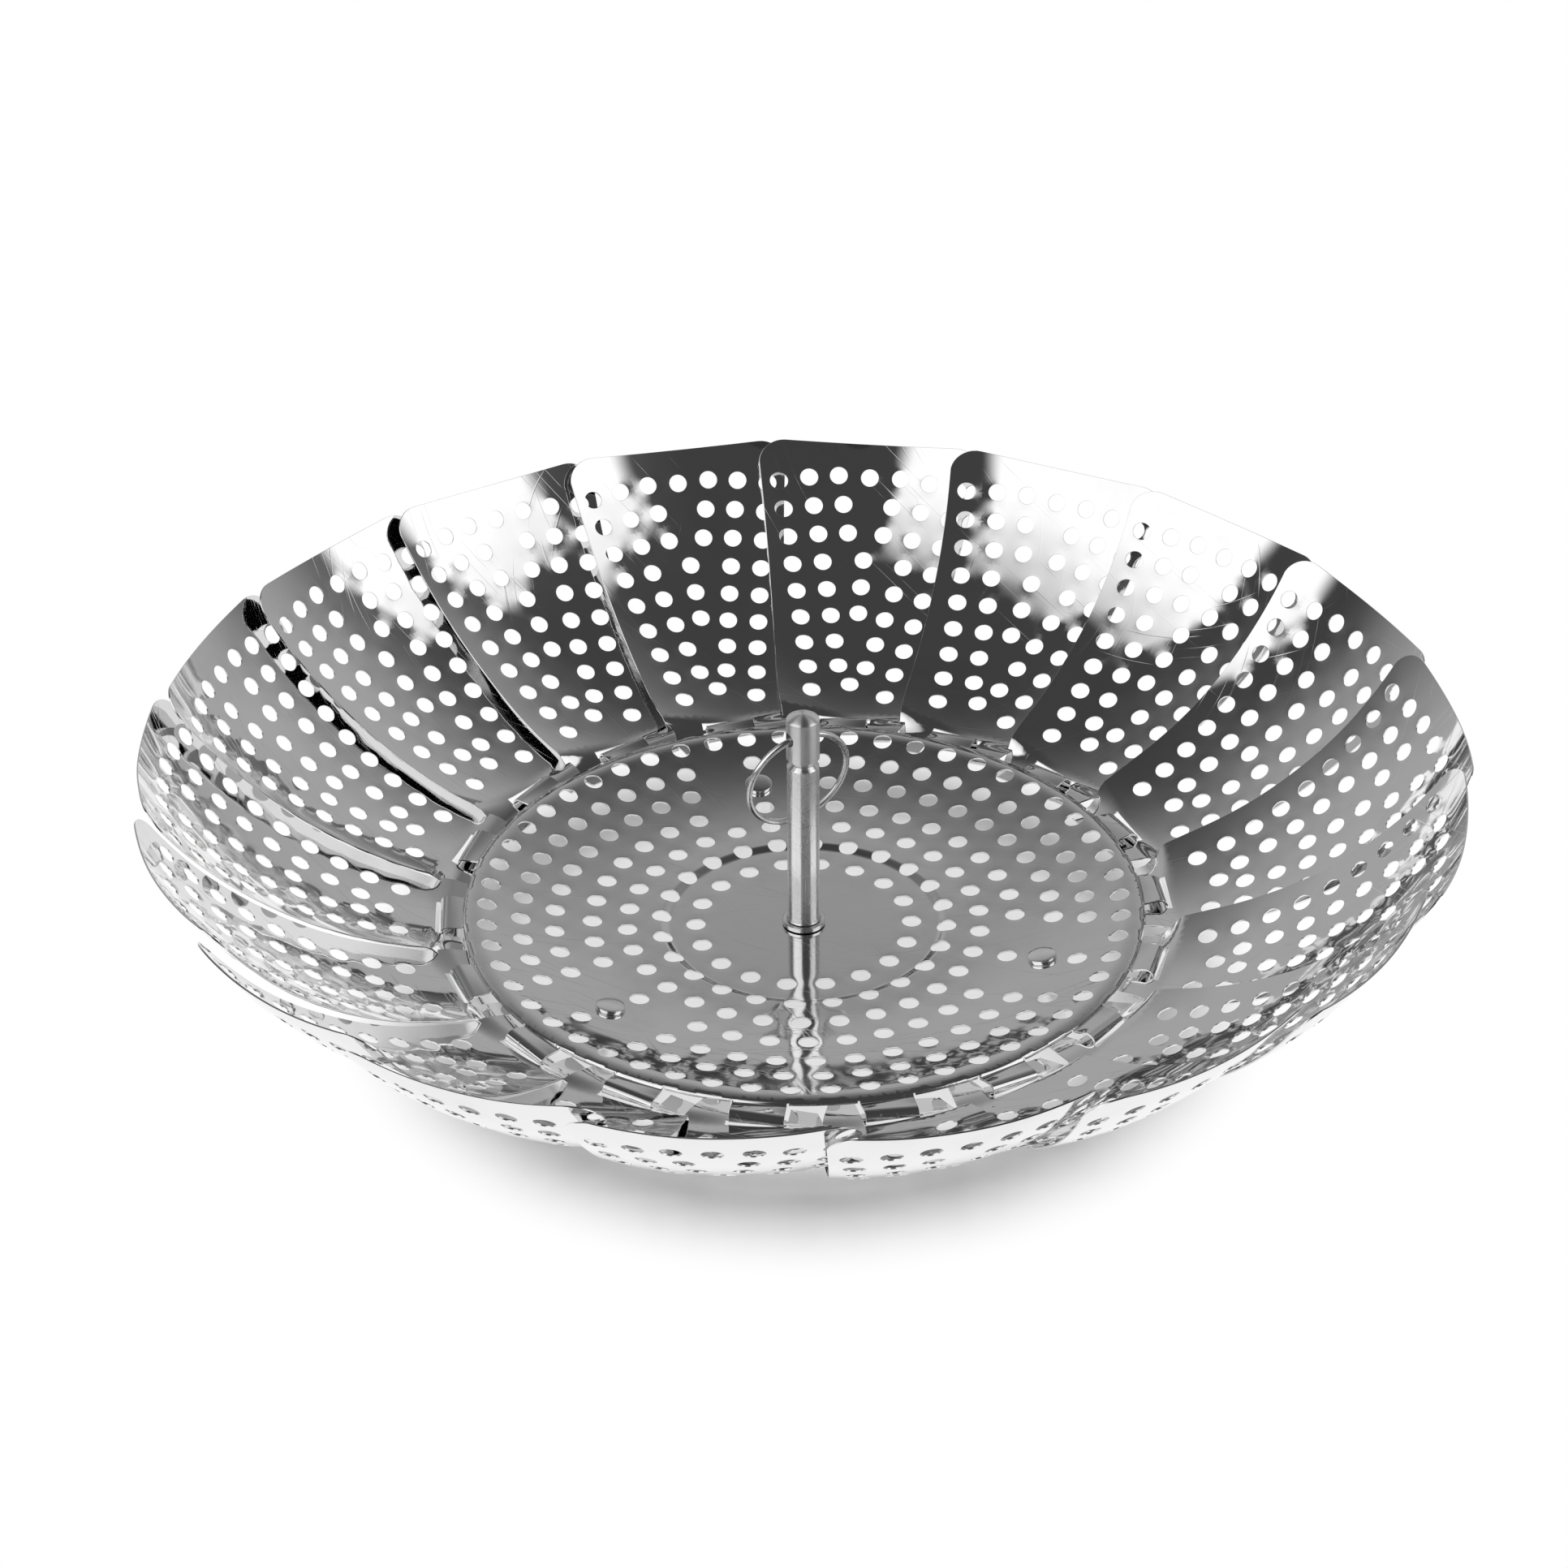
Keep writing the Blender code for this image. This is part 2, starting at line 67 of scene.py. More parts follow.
# Camera: a long lens looking down into the bowl from the front
camera = {
    "target": (0, 0, 0.020),
    "elevation": 33.7,
    "roll": -0.3,
    "distance": 0.765,
    "imagePixels": 1932,
    "focalPixels": 4290,
    "targetPixel": (990.3, 1108),
    "sensor": 36.0,
}


def placeCamera():
    data = bpy.data.cameras.new("camera")
    data.sensor_width = camera["sensor"]
    data.lens = camera["focalPixels"] * camera["sensor"] / camera["imagePixels"]
    half = camera["imagePixels"] / 2
    data.shift_x = (half - camera["targetPixel"][0]) / camera["imagePixels"]
    data.shift_y = (camera["targetPixel"][1] - half) / camera["imagePixels"]
    holder = addObject("camera", data)
    rise = math.radians(camera["elevation"])
    away = Vector((0, -math.cos(rise), math.sin(rise))) * camera["distance"]
    roll = Matrix.Rotation(math.radians(camera["roll"]), 4, "Z")
    aim = Matrix.Rotation(math.pi / 2 - rise, 4, "X") @ roll
    holder.matrix_world = Matrix.Translation(Vector(camera["target"]) + away) @ aim
    bpy.context.scene.camera = holder


placeCamera()
print("camera placed")


# Shader node helpers
def newGroup(name, inputs, outputs):
    group = bpy.data.node_groups.new(name, "ShaderNodeTree")
    for socketName, kind, value in inputs:
        socket = group.interface.new_socket(socketName, in_out="INPUT", socket_type=kind)
        if value is not None:
            socket.default_value = value
    for socketName, kind in outputs:
        group.interface.new_socket(socketName, in_out="OUTPUT", socket_type=kind)
    return group, group.nodes.new("NodeGroupInput"), group.nodes.new("NodeGroupOutput")


def addNode(tree, kind, settings=None, inputs=None):
    node = tree.nodes.new(kind)
    for name, value in (settings or {}).items():
        setattr(node, name, value)
    for name, value in (inputs or {}).items():
        if isinstance(value, bpy.types.NodeSocket):
            tree.links.new(value, node.inputs[name])
        else:
            node.inputs[name].default_value = value
    return node


def mathNode(tree, operation, first, second=0.0, clamp=False):
    settings = {"operation": operation, "use_clamp": clamp}
    return addNode(tree, "ShaderNodeMath", settings, {0: first, 1: second}).outputs[0]


def mixColour(tree, factor, first, second):
    settings = {"data_type": "RGBA"}
    return addNode(tree, "ShaderNodeMix", settings, {0: factor, 6: first, 7: second}).outputs[2]


def grey(value):
    return (value, value, value, 1.0)


def rampNode(tree, factor, fromMin, fromMax, toMin=0.0, toMax=1.0):
    settings = {"interpolation_type": "SMOOTHSTEP"}
    values = {"Value": factor, "From Min": fromMin, "From Max": fromMax, "To Min": toMin, "To Max": toMax}
    return addNode(tree, "ShaderNodeMapRange", settings, values).outputs["Result"]


# Wear that the steels share, and the turn of the lathe marks on the turned ones
wear = {
    "lineTurns": [(0.3, 0.0, 0.5), (1.1, 0.7, 1.9), (0.2, 1.3, 2.6), (0.9, 0.4, 3.3)],
    "lineContrast": 14.0,
    "fineSmudge": 9.0,
    "patchRange": (0.45, 0.75),
    "grainRange": (0.3, 0.8, 0.5, 1.0),
    "scoreStrength": 0.35,
    "scoreDepth": 0.00002,
    "latheTurn": 0.25,
}


# Hairline scratches: thin dashes in a few directions, as a mask
def makeHairlines():
    group, given, made = newGroup(
        "hairlines",
        [("Vector", "NodeSocketVector", None), ("Width Scale", "NodeSocketFloat", 2600.0),
         ("Length Scale", "NodeSocketFloat", 28.0), ("Threshold", "NodeSocketFloat", 0.66)],
        [("Mask", "NodeSocketFloat")],
    )
    total = None
    for turn in wear["lineTurns"]:
        turned = addNode(group, "ShaderNodeMapping", {}, {
            "Vector": given.outputs["Vector"], "Rotation": turn})
        stretch = addNode(group, "ShaderNodeCombineXYZ", {}, {
            "X": given.outputs["Length Scale"],
            "Y": given.outputs["Width Scale"],
            "Z": given.outputs["Length Scale"],
        })
        scaled = addNode(group, "ShaderNodeVectorMath", {"operation": "MULTIPLY"}, {
            0: turned.outputs["Vector"], 1: stretch.outputs["Vector"]})
        noise = addNode(group, "ShaderNodeTexNoise", {}, {
            "Vector": scaled.outputs["Vector"], "Scale": 1.0, "Detail": 1.0, "Roughness": 0.4})
        above = mathNode(group, "SUBTRACT", noise.outputs["Fac"], given.outputs["Threshold"])
        dash = mathNode(group, "MULTIPLY", above, wear["lineContrast"], clamp=True)
        total = dash if total is None else mathNode(group, "MAXIMUM", total, dash)
    group.links.new(total, made.inputs["Mask"])
    return group


# Smudges: soft cloudy patches left by handling and wiping
def makeSmudges():
    group, given, made = newGroup(
        "smudges",
        [("Vector", "NodeSocketVector", None), ("Scale", "NodeSocketFloat", 45.0)],
        [("Mask", "NodeSocketFloat")],
    )
    broad = addNode(group, "ShaderNodeTexNoise", {}, {
        "Vector": given.outputs["Vector"], "Scale": given.outputs["Scale"],
        "Detail": 4.0, "Distortion": 0.6})
    fineScale = mathNode(group, "MULTIPLY", given.outputs["Scale"], wear["fineSmudge"])
    fine = addNode(group, "ShaderNodeTexNoise", {}, {
        "Vector": given.outputs["Vector"], "Scale": fineScale, "Detail": 3.0})
    patches = rampNode(group, broad.outputs["Fac"], *wear["patchRange"])
    grain = rampNode(group, fine.outputs["Fac"], *wear["grainRange"])
    group.links.new(mathNode(group, "MULTIPLY", patches, grain), made.inputs["Mask"])
    return group


# Waviness: the slow ripples of thin rolled sheet, as a height
def makeWaviness():
    group, given, made = newGroup(
        "waviness",
        [("Vector", "NodeSocketVector", None), ("Scale", "NodeSocketFloat", 40.0)],
        [("Height", "NodeSocketFloat")],
    )
    noise = addNode(group, "ShaderNodeTexNoise", {}, {
        "Vector": given.outputs["Vector"], "Scale": given.outputs["Scale"],
        "Detail": 1.5, "Roughness": 0.35})
    group.links.new(noise.outputs["Fac"], made.inputs["Height"])
    return group


hairlines = makeHairlines()
smudges = makeSmudges()
waviness = makeWaviness()

steels = {
    "plate_steel": {"colour": 0.80, "dull": 0.74, "roughness": 0.055, "smudge": 0.05, "scratch": 0.10,
                    "waveScale": 36.0, "waveDepth": 0.00005, "threshold": 0.70},
    "petal_steel": {"colour": 0.84, "dull": 0.78, "roughness": 0.045, "smudge": 0.04, "scratch": 0.09,
                    "waveScale": 55.0, "waveDepth": 0.00008, "threshold": 0.71},
    "foot_steel": {"colour": 0.95, "dull": 0.86, "roughness": 0.13, "smudge": 0.10, "scratch": 0.10,
                   "waveScale": 400.0, "waveDepth": 0.00001, "threshold": 0.66},
    "post_steel": {"colour": 0.92, "dull": 0.86, "roughness": 0.25, "smudge": 0.05, "scratch": 0.06,
                   "waveScale": 160.0, "waveDepth": 0.00001, "threshold": 0.68, "turned": 0.8},
    "handle_steel": {"colour": 0.98, "dull": 0.90, "roughness": 0.36, "smudge": 0.06, "scratch": 0.05,
                     "waveScale": 200.0, "waveDepth": 0.00001, "threshold": 0.70, "turned": 0.9},
    "ring_steel": {"colour": 0.92, "dull": 0.82, "roughness": 0.15, "smudge": 0.08, "scratch": 0.12,
                   "waveScale": 120.0, "waveDepth": 0.00002, "threshold": 0.64},
}


def makeSteel(name, finish):
    material = bpy.data.materials.new(name)
    material.use_nodes = True
    tree = material.node_tree
    shader = tree.nodes["Principled BSDF"]
    shader.inputs["Metallic"].default_value = 1.0
    place = addNode(tree, "ShaderNodeTexCoord").outputs["Object"]
    lines = addNode(tree, "ShaderNodeGroup", {"node_tree": hairlines}, {
        "Vector": place, "Threshold": finish["threshold"]}).outputs["Mask"]
    patches = addNode(tree, "ShaderNodeGroup", {"node_tree": smudges}, {"Vector": place}).outputs["Mask"]
    ripple = addNode(tree, "ShaderNodeGroup", {"node_tree": waviness}, {
        "Vector": place, "Scale": finish["waveScale"]}).outputs["Height"]
    tint = mixColour(tree, patches, grey(finish["colour"]), grey(finish["dull"]))
    tree.links.new(tint, shader.inputs["Base Color"])
    worn = mathNode(tree, "MULTIPLY_ADD", patches, finish["smudge"])
    worn.node.inputs[2].default_value = finish["roughness"]
    scored = mathNode(tree, "MULTIPLY_ADD", lines, finish["scratch"])
    tree.links.new(worn, scored.node.inputs[2])
    tree.links.new(scored, shader.inputs["Roughness"])
    wave = addNode(tree, "ShaderNodeBump", {}, {
        "Strength": 1.0, "Distance": finish["waveDepth"], "Height": ripple})
    score = addNode(tree, "ShaderNodeBump", {"invert": True}, {
        "Strength": wear["scoreStrength"], "Distance": wear["scoreDepth"], "Height": lines,
        "Normal": wave.outputs["Normal"]})
    tree.links.new(score.outputs["Normal"], shader.inputs["Normal"])
    if "turned" in finish:
        shader.inputs["Anisotropic"].default_value = finish["turned"]
        shader.inputs["Anisotropic Rotation"].default_value = wear["latheTurn"]
        lathe = addNode(tree, "ShaderNodeTangent", {"direction_type": "RADIAL", "axis": "Z"})
        tree.links.new(lathe.outputs["Tangent"], shader.inputs["Tangent"])
    return material


materials = {name: makeSteel(name, finish) for name, finish in steels.items()}
print("materials made:", len(materials))


# Sheet metal is drawn flat, punched and bevelled there, and then every point is carried into the bent sheet
sheetWork = {
    "holeSides": 24,
    "edgeRound": 0.00007,
    "roundSegments": 2,
    "slopeStep": 0.00002,
    "mergeGap": 0.000002,
    "rimFacing": 0.5,
    "levelFacing": 0.99,
}


def drawLoop(sheet, points):
    corners = [sheet.verts.new((x, y, 0)) for x, y in points]
    return [sheet.edges.new(pair) for pair in zip(corners, corners[1:] + corners[:1])]


def fillPatch(sheet, loops, holes=(), holeRadius=0.0):
    edges = [edge for loop in loops for edge in drawLoop(sheet, loop)]
    for x, y in holes:
        circle = bmesh.ops.create_circle(
            sheet, cap_ends=False, segments=sheetWork["holeSides"], radius=holeRadius,
            matrix=Matrix.Translation((x, y, 0)))["verts"]
        edges += {edge for vert in circle for edge in vert.link_edges}
    bmesh.ops.triangle_fill(sheet, use_beauty=True, use_dissolve=False, edges=edges)


def refine(sheet, limitAt):
    while True:
        tooLong = [edge for edge in sheet.edges
                   if edge.calc_length() > limitAt((edge.verts[0].co + edge.verts[1].co) / 2)]
        if not tooLong:
            break
        bmesh.ops.subdivide_edges(sheet, edges=tooLong, cuts=1)
        bmesh.ops.triangulate(sheet, faces=sheet.faces)
        inner = [edge for edge in sheet.edges if len(edge.link_faces) == 2]
        bmesh.ops.beautify_fill(sheet, faces=sheet.faces, edges=inner)


def thicken(sheet, low, thickness):
    bmesh.ops.translate(sheet, verts=sheet.verts, vec=(0, 0, low))
    raised = bmesh.ops.extrude_face_region(sheet, geom=sheet.faces[:])["geom"]
    raisedVerts = [item for item in raised if isinstance(item, bmesh.types.BMVert)]
    bmesh.ops.translate(sheet, verts=raisedVerts, vec=(0, 0, thickness))
    bmesh.ops.recalc_face_normals(sheet, faces=sheet.faces)


def punchedSheet(patches, holes, holeRadius, thickness, limitAt):
    sheet = bmesh.new()
    fillPatch(sheet, patches[0], holes, holeRadius)
    for patch in patches[1:]:
        fillPatch(sheet, patch)
    bmesh.ops.remove_doubles(sheet, verts=sheet.verts, dist=sheetWork["mergeGap"])
    refine(sheet, limitAt)
    thicken(sheet, -thickness / 2, thickness)
    rims = [edge for edge in sheet.edges
            if sum(abs(face.normal.z) > sheetWork["rimFacing"] for face in edge.link_faces) == 1]
    bmesh.ops.bevel(
        sheet, geom=rims, offset=sheetWork["edgeRound"], offset_type="OFFSET",
        segments=sheetWork["roundSegments"], profile=0.5, affect="EDGES", material=-1)
    return sheet


def flatNormals(sheet):
    normals = []
    for vert in sheet.verts:
        around = [face.normal for face in vert.link_faces]
        level = [normal for normal in around if abs(normal.z) > sheetWork["levelFacing"]]
        normals.append(sum(level or around, Vector()).normalized())
    return np.array(normals)


def bentMesh(name, sheet, surfaceAt):
    flat = np.array([vert.co for vert in sheet.verts])
    flatNormal = flatNormals(sheet)
    step = sheetWork["slopeStep"]
    x, y, depth = flat[:, 0], flat[:, 1], flat[:, 2:]
    alongSlope = surfaceAt(x + step, y) - surfaceAt(x - step, y)
    acrossSlope = surfaceAt(x, y + step) - surfaceAt(x, y - step)
    out = np.cross(alongSlope, acrossSlope)
    out /= np.linalg.norm(out, axis=1, keepdims=True)
    side = np.cross(acrossSlope, out)
    side /= np.linalg.norm(side, axis=1, keepdims=True)
    front = np.cross(out, alongSlope)
    front /= np.linalg.norm(front, axis=1, keepdims=True)
    normals = side * flatNormal[:, :1] + front * flatNormal[:, 1:2] + out * flatNormal[:, 2:]
    mesh = bpy.data.meshes.new(name)
    sheet.to_mesh(mesh)
    mesh.vertices.foreach_set("co", (surfaceAt(x, y) + out * depth).ravel())
    mesh.shade_smooth()
    mesh.normals_split_custom_set_from_vertices(normals)
    mesh.update()
    return mesh


def smoothStep(value, start, end):
    share = np.clip((value - start) / (end - start), 0, 1)
    return share * share * (3 - 2 * share)


def addPiece(name, mesh, body, steel, *nodes):
    piece = addObject(name, mesh)
    mesh.materials.clear()
    mesh.materials.append(materials[steel])
    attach(piece, body)
    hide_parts(*nodes)
    return piece


# Depth by which the sheet is drawn down round punched holes
def holeDimples(x, y, holes, holeRadius, depth, reach):
    nearest = np.full(np.shape(x), np.inf)
    for holeX, holeY in holes:
        nearest = np.minimum(nearest, np.hypot(x - holeX, y - holeY))
    return depth * np.exp(-np.maximum(nearest - holeRadius, 0) / reach)


# Feet: each is a rivet through the plate, with a turned leg below it
foot = {
    "count": 3,
    "holeRing": 7,
    "firstTurn": 101.0,
    "headRadius": 0.00315,
    "headHeight": 0.0011,
    "headRound": 0.0002,
    "seatRound": 0.00012,
    "headCrown": 0.00016,
    "seat": 0.00027,
    "neckRadius": 0.0015,
    "legRadius": 0.0030,
    "endRadius": 0.0026,
    "taper": 0.0020,
    "legRound": 0.0003,
    "endRound": 0.0002,
    "spare": 0.001,
    "crownShares": (0, 0.25, 0.5, 0.75),
    "headArc": (78, 0),
    "seatArc": (-10, -80),
    "steps": 48,
}

# Perforated plate: dished, with a pressed centre, a rounded brim and a curled tongue for each petal
hinge = Vector(joints["fold_01"]["pos_m"])
plate = {
    "thickness": 0.0005,
    "floorHeight": 0.0143,
    "flatRadius": 0.035,
    "dishRadius": 0.112,
    "discRadius": 0.0294,
    "discStep": 0.0024,
    "discRecess": 0.0007,
    "brimStart": 0.0698,
    "brimRadius": 0.0079,
    "brimEnd": -12.0,
    "edgeRadius": 0.0007,
    "edgeEnd": -80.0,
    "holeRadius": 0.00215,
    "holePitch": 0.00778,
    "ringRadii": {3: 0.0238, 4: 0.0315, 5: 0.0389, 6: 0.0466, 7: 0.0549, 8: 0.0622, 9: 0.0696},
    "holesPerRing": 6,
    "holeTurn": 41.0,
    "dimpleDepth": 0.00003,
    "dimpleReach": 0.0009,
    "tongues": 18,
    "tongueWidth": 0.0112,
    "tongueRelief": 0.0004,
    "tongueDrop": -50.0,
    "tongueStraight": 0.0003,
    "tongueLift": 0.0006,
    "curlRadius": 0.00185,
    "curlEnd": -170.0,
    "hingeRadius": hinge.xy.length,
    "hingeHeight": hinge.z,
    "hingeSlant": -5.0,
    "slantEase": 0.004,
    "acrossLimit": 0.01,
    "landPoints": 9,
    "edgeFacet": 0.0010,
    "edgeMargin": 0.0002,
    "stepFacet": 0.0007,
    "stepMargin": 0.001,
    "brimFacet": 0.0020,
    "dishFacet": 0.0026,
    "firstTurn": math.atan2(hinge.y, hinge.x),
}


# Height of the middle of the sheet, with the rim left to the bends
def dishProfile(radius):
    p = plate
    recess = p["discRecess"] * (1 - smoothStep(radius, p["discRadius"], p["discRadius"] + p["discStep"]))
    run = np.clip(radius - p["flatRadius"], 0, p["brimStart"] - p["flatRadius"])
    rise = p["dishRadius"] - np.sqrt(p["dishRadius"] ** 2 - run ** 2)
    return p["floorHeight"] + rise - recess


# Place along a strip that is bent by (length, turn) in a row, from a start at the origin
def followBends(distance, heading, bends):
    forward = np.zeros(np.shape(distance))
    upward = np.zeros(np.shape(distance))
    start = 0.0
    for length, turn in bends:
        run = np.clip(distance - start, 0, length)
        if turn:
            bend = turn / length
            forward += (np.sin(heading + bend * run) - math.sin(heading)) / bend
            upward += (math.cos(heading) - np.cos(heading + bend * run)) / bend
        else:
            forward += run * math.cos(heading)
            upward += run * math.sin(heading)
        heading += turn
        start += length
    beyond = np.maximum(distance - start, 0)
    return forward + beyond * math.cos(heading), upward + beyond * math.sin(heading)


rimHeading = math.asin((plate["brimStart"] - plate["flatRadius"]) / plate["dishRadius"])
brimHeading, edgeHeading, dropHeading = (
    math.radians(plate[name]) for name in ("brimEnd", "edgeEnd", "tongueDrop"))


def wayAlong(heading):
    return Vector((math.cos(heading), math.sin(heading)))


def wayOut(heading):
    return Vector((-math.sin(heading), math.cos(heading)))


# The brim rounds over to its edge; a tongue leaves the edge steeply, turns up again and runs into its curl
brimPlace = Vector((plate["brimStart"], float(dishProfile(np.array(plate["brimStart"])))))
brimCentre = brimPlace - wayOut(rimHeading) * plate["brimRadius"]
edgeCentre = brimCentre + wayOut(brimHeading) * (plate["brimRadius"] - plate["edgeRadius"])
liftCentre = edgeCentre + wayOut(dropHeading) * (plate["edgeRadius"] + plate["tongueLift"])
liftCentre += wayAlong(dropHeading) * plate["tongueStraight"]
span = Vector((plate["hingeRadius"], plate["hingeHeight"])) - liftCentre
bothRadii = plate["tongueLift"] + plate["curlRadius"]
levelHeading = math.atan2(span.y, span.x) + math.asin(bothRadii / span.length)
curlTurn = math.radians(plate["curlEnd"]) - (levelHeading + math.pi / 2)
brimBend = (plate["brimRadius"] * (rimHeading - brimHeading), brimHeading - rimHeading)
landBends = [brimBend, (plate["edgeRadius"] * (brimHeading - edgeHeading), edgeHeading - brimHeading)]
tongueBends = [
    brimBend,
    (plate["edgeRadius"] * (brimHeading - dropHeading), dropHeading - brimHeading),
    (plate["tongueStraight"], 0),
    (plate["tongueLift"] * (levelHeading - dropHeading), levelHeading - dropHeading),
    (math.sqrt(span.length ** 2 - bothRadii ** 2), 0),
    (plate["curlRadius"] * -curlTurn, curlTurn),
]
edgeStart = plate["brimStart"] + brimBend[0]
notchRadius = edgeStart + tongueBends[1][0]
landRadius = edgeStart + landBends[1][0]
tongueReach = plate["brimStart"] + sum(length for length, turn in tongueBends)


def onRing(radius, angles):
    return [(radius * math.cos(angle), radius * math.sin(angle)) for angle in angles]


# The flat plate in patches that share their seams: a disc, then a tongue and a land for each petal
def platePatches():
    pitch = math.tau / plate["tongues"]
    halfTongue = plate["tongueWidth"] / 2
    relief = halfTongue + plate["tongueRelief"]
    tongueEdge = math.asin(halfTongue / notchRadius)
    landEdge = math.asin(relief / notchRadius)
    outerEdge = math.asin(relief / landRadius)
    disc = []
    patches = []
    for index in range(plate["tongues"]):
        middle = plate["firstTurn"] + index * pitch
        root = onRing(notchRadius, (middle - tongueEdge, middle + tongueEdge))
        points = plate["landPoints"]
        inner = np.linspace(middle + landEdge, middle + pitch - landEdge, points).tolist()
        outer = np.linspace(middle + pitch - outerEdge, middle + outerEdge, points).tolist()
        landRoot = onRing(notchRadius, inner)
        landEnd = onRing(landRadius, outer)
        out = tongueReach - notchRadius
        step = (out * math.cos(middle), out * math.sin(middle))
        end = [(x + step[0], y + step[1]) for x, y in reversed(root)]
        disc += root + landRoot
        patches += [[root + end], [landRoot + landEnd]]
    return [[disc]] + patches


# The sheet is left whole at both sides of each foot, on its own ring and the two next to it
def besideFoot(ring, index):
    between = plate["holesPerRing"] * ring // foot["count"]
    apart = (index - ring) % between
    return abs(ring - foot["holeRing"]) <= 1 and apart in (1, between - 1)


def plateHoles():
    holes = []
    for ring, radius in plate["ringRadii"].items():
        count = plate["holesPerRing"] * ring
        for index in range(count):
            if not besideFoot(ring, index):
                turn = math.radians(plate["holeTurn"]) + math.tau * index / count
                holes.append((radius * math.cos(turn), radius * math.sin(turn)))
    return holes


# Longest facet edge wanted at a place on the flat plate
def plateLimit(place):
    radius = place.xy.length
    margin = plate["stepMargin"]
    if radius > edgeStart - plate["edgeMargin"]:
        return plate["edgeFacet"]
    if plate["discRadius"] - margin < radius < plate["discRadius"] + plate["discStep"] + margin:
        return plate["stepFacet"]
    return plate["brimFacet"] if radius > plate["brimStart"] else plate["dishFacet"]


# Middle of the bent sheet: the dish and its lands, or a tongue with a straight root and a slanted end
def plateSurface(x, y):
    radius = np.hypot(x, y)
    angle = np.arctan2(y, x)
    pitch = math.tau / plate["tongues"]
    index = np.round((angle - plate["firstTurn"]) / pitch)
    tongueAngle = plate["firstTurn"] + index * pitch
    across = radius * np.sin(angle - tongueAngle)
    past = radius - plate["brimStart"]
    landOut, landUp = followBends(past, rimHeading, landBends)
    tongueOut, tongueUp = followBends(past, rimHeading, tongueBends)
    dimple = holeDimples(
        x, y, plateHoleCentres, plate["holeRadius"], plate["dimpleDepth"], plate["dimpleReach"])
    reach = np.where(past > 0, plate["brimStart"] + landOut, radius)
    height = dishProfile(radius) - dimple + np.where(past > 0, landUp, 0)
    land = np.stack([reach * np.cos(angle), reach * np.sin(angle), height], axis=1)
    slant = across * math.tan(math.radians(plate["hingeSlant"]))
    eased = smoothStep(radius, notchRadius, notchRadius + plate["slantEase"])
    near = np.clip(across, -plate["acrossLimit"], plate["acrossLimit"])
    sagitta = notchRadius - np.sqrt(notchRadius ** 2 - near ** 2)
    outwards = plate["brimStart"] + tongueOut - sagitta * (1 - eased)
    tongueHeight = dishProfile(radius) + tongueUp + slant * eased
    tongue = np.stack([
        outwards * np.cos(tongueAngle) - across * np.sin(tongueAngle),
        outwards * np.sin(tongueAngle) + across * np.cos(tongueAngle),
        tongueHeight,
    ], axis=1)
    halfTongue = plate["tongueWidth"] / 2 + plate["tongueRelief"] / 2
    onTongue = (radius > notchRadius) & (np.abs(across) < halfTongue)
    return np.where(onTongue[:, None], tongue, land)


plateHoleCentres = plateHoles()
plateSheet = punchedSheet(
    platePatches(), plateHoleCentres, plate["holeRadius"], plate["thickness"], plateLimit)
plateMesh = bentMesh("plate_sheet", plateSheet, plateSurface)
plateSheet.free()
addPiece("plate_sheet", plateMesh, "plate", "plate_steel", "base_plate")
print("plate made:", len(plateHoleCentres), "holes,", len(plateMesh.polygons), "faces and",
      len(plateMesh.loops) - 2 * len(plateMesh.polygons), "triangles")


# Petals: along runs from the hinge axis to the tip, across runs anticlockwise seen from above
petal = {
    "thickness": 0.0004,
    "length": 0.079,
    "baseWidth": 0.0306,
    "topWidth": 0.056,
    "footWidth": 0.0252,
    "flareLength": 0.013,
    "cornerRadius": 0.006,
    "arcRadius": 0.090,
    "startSlope": 9.5,
    "crossRadius": 0.092,
    "baseTwist": 4.5,
    "topTwist": 3.3,
    "twistStart": -0.001,
    "twistEnd": 0.005,
    "tail": 0.0060,
    "strip": 0.0012,
    "slotWidth": 0.0124,
    "slotReach": 0.003,
    "notchWidth": 0.0122,
    "holeRadius": 0.00215,
    "holePitch": 0.00715,
    "columnSpread": 0.23,
    "columns": [(0.00631, 0.01107, 9), (-0.00126, 0.01987, 8), (-0.00866, 0.0566, 3)],
    "centreHoles": (0.01438, 0.03553, 0.04268, 0.04983, 0.07078),
    "dimpleDepth": 0.00004,
    "dimpleReach": 0.0010,
    "facet": 0.0018,
    "sidePoints": 30,
    "cornerPoints": 10,
    "seed": 4,
    "warps": 5,
    "warpDepth": 0.00003,
    "warpLengths": (0.018, 0.045),
    "warpMiddle": 0.03,
    "warpEase": (0.004, 0.02),
}


def petalHalfWidth(along):
    half = petal["baseWidth"] / 2 + (petal["topWidth"] - petal["baseWidth"]) / 2 * along / petal["length"]
    drawnIn = max((petal["flareLength"] - along) / (petal["flareLength"] + petal["tail"]), 0)
    return half - (petal["baseWidth"] - petal["footWidth"]) / 2 * drawnIn ** 2


def petalOutline():
    side = [(-petal["strip"], petal["notchWidth"] / 2), (-petal["tail"], petal["notchWidth"] / 2)]
    straightEnd = petal["length"] - petal["cornerRadius"]
    for share in np.linspace(0, 1, petal["sidePoints"]):
        along = -petal["tail"] + (straightEnd + petal["tail"]) * float(share)
        side.append((along, petalHalfWidth(along)))
    centre = petalHalfWidth(straightEnd) - petal["cornerRadius"]
    for turn in np.linspace(0, math.pi / 2, petal["cornerPoints"])[1:]:
        side.append((straightEnd + petal["cornerRadius"] * math.sin(turn),
                     centre + petal["cornerRadius"] * math.cos(turn)))
    return side + [(along, -across) for along, across in reversed(side)]


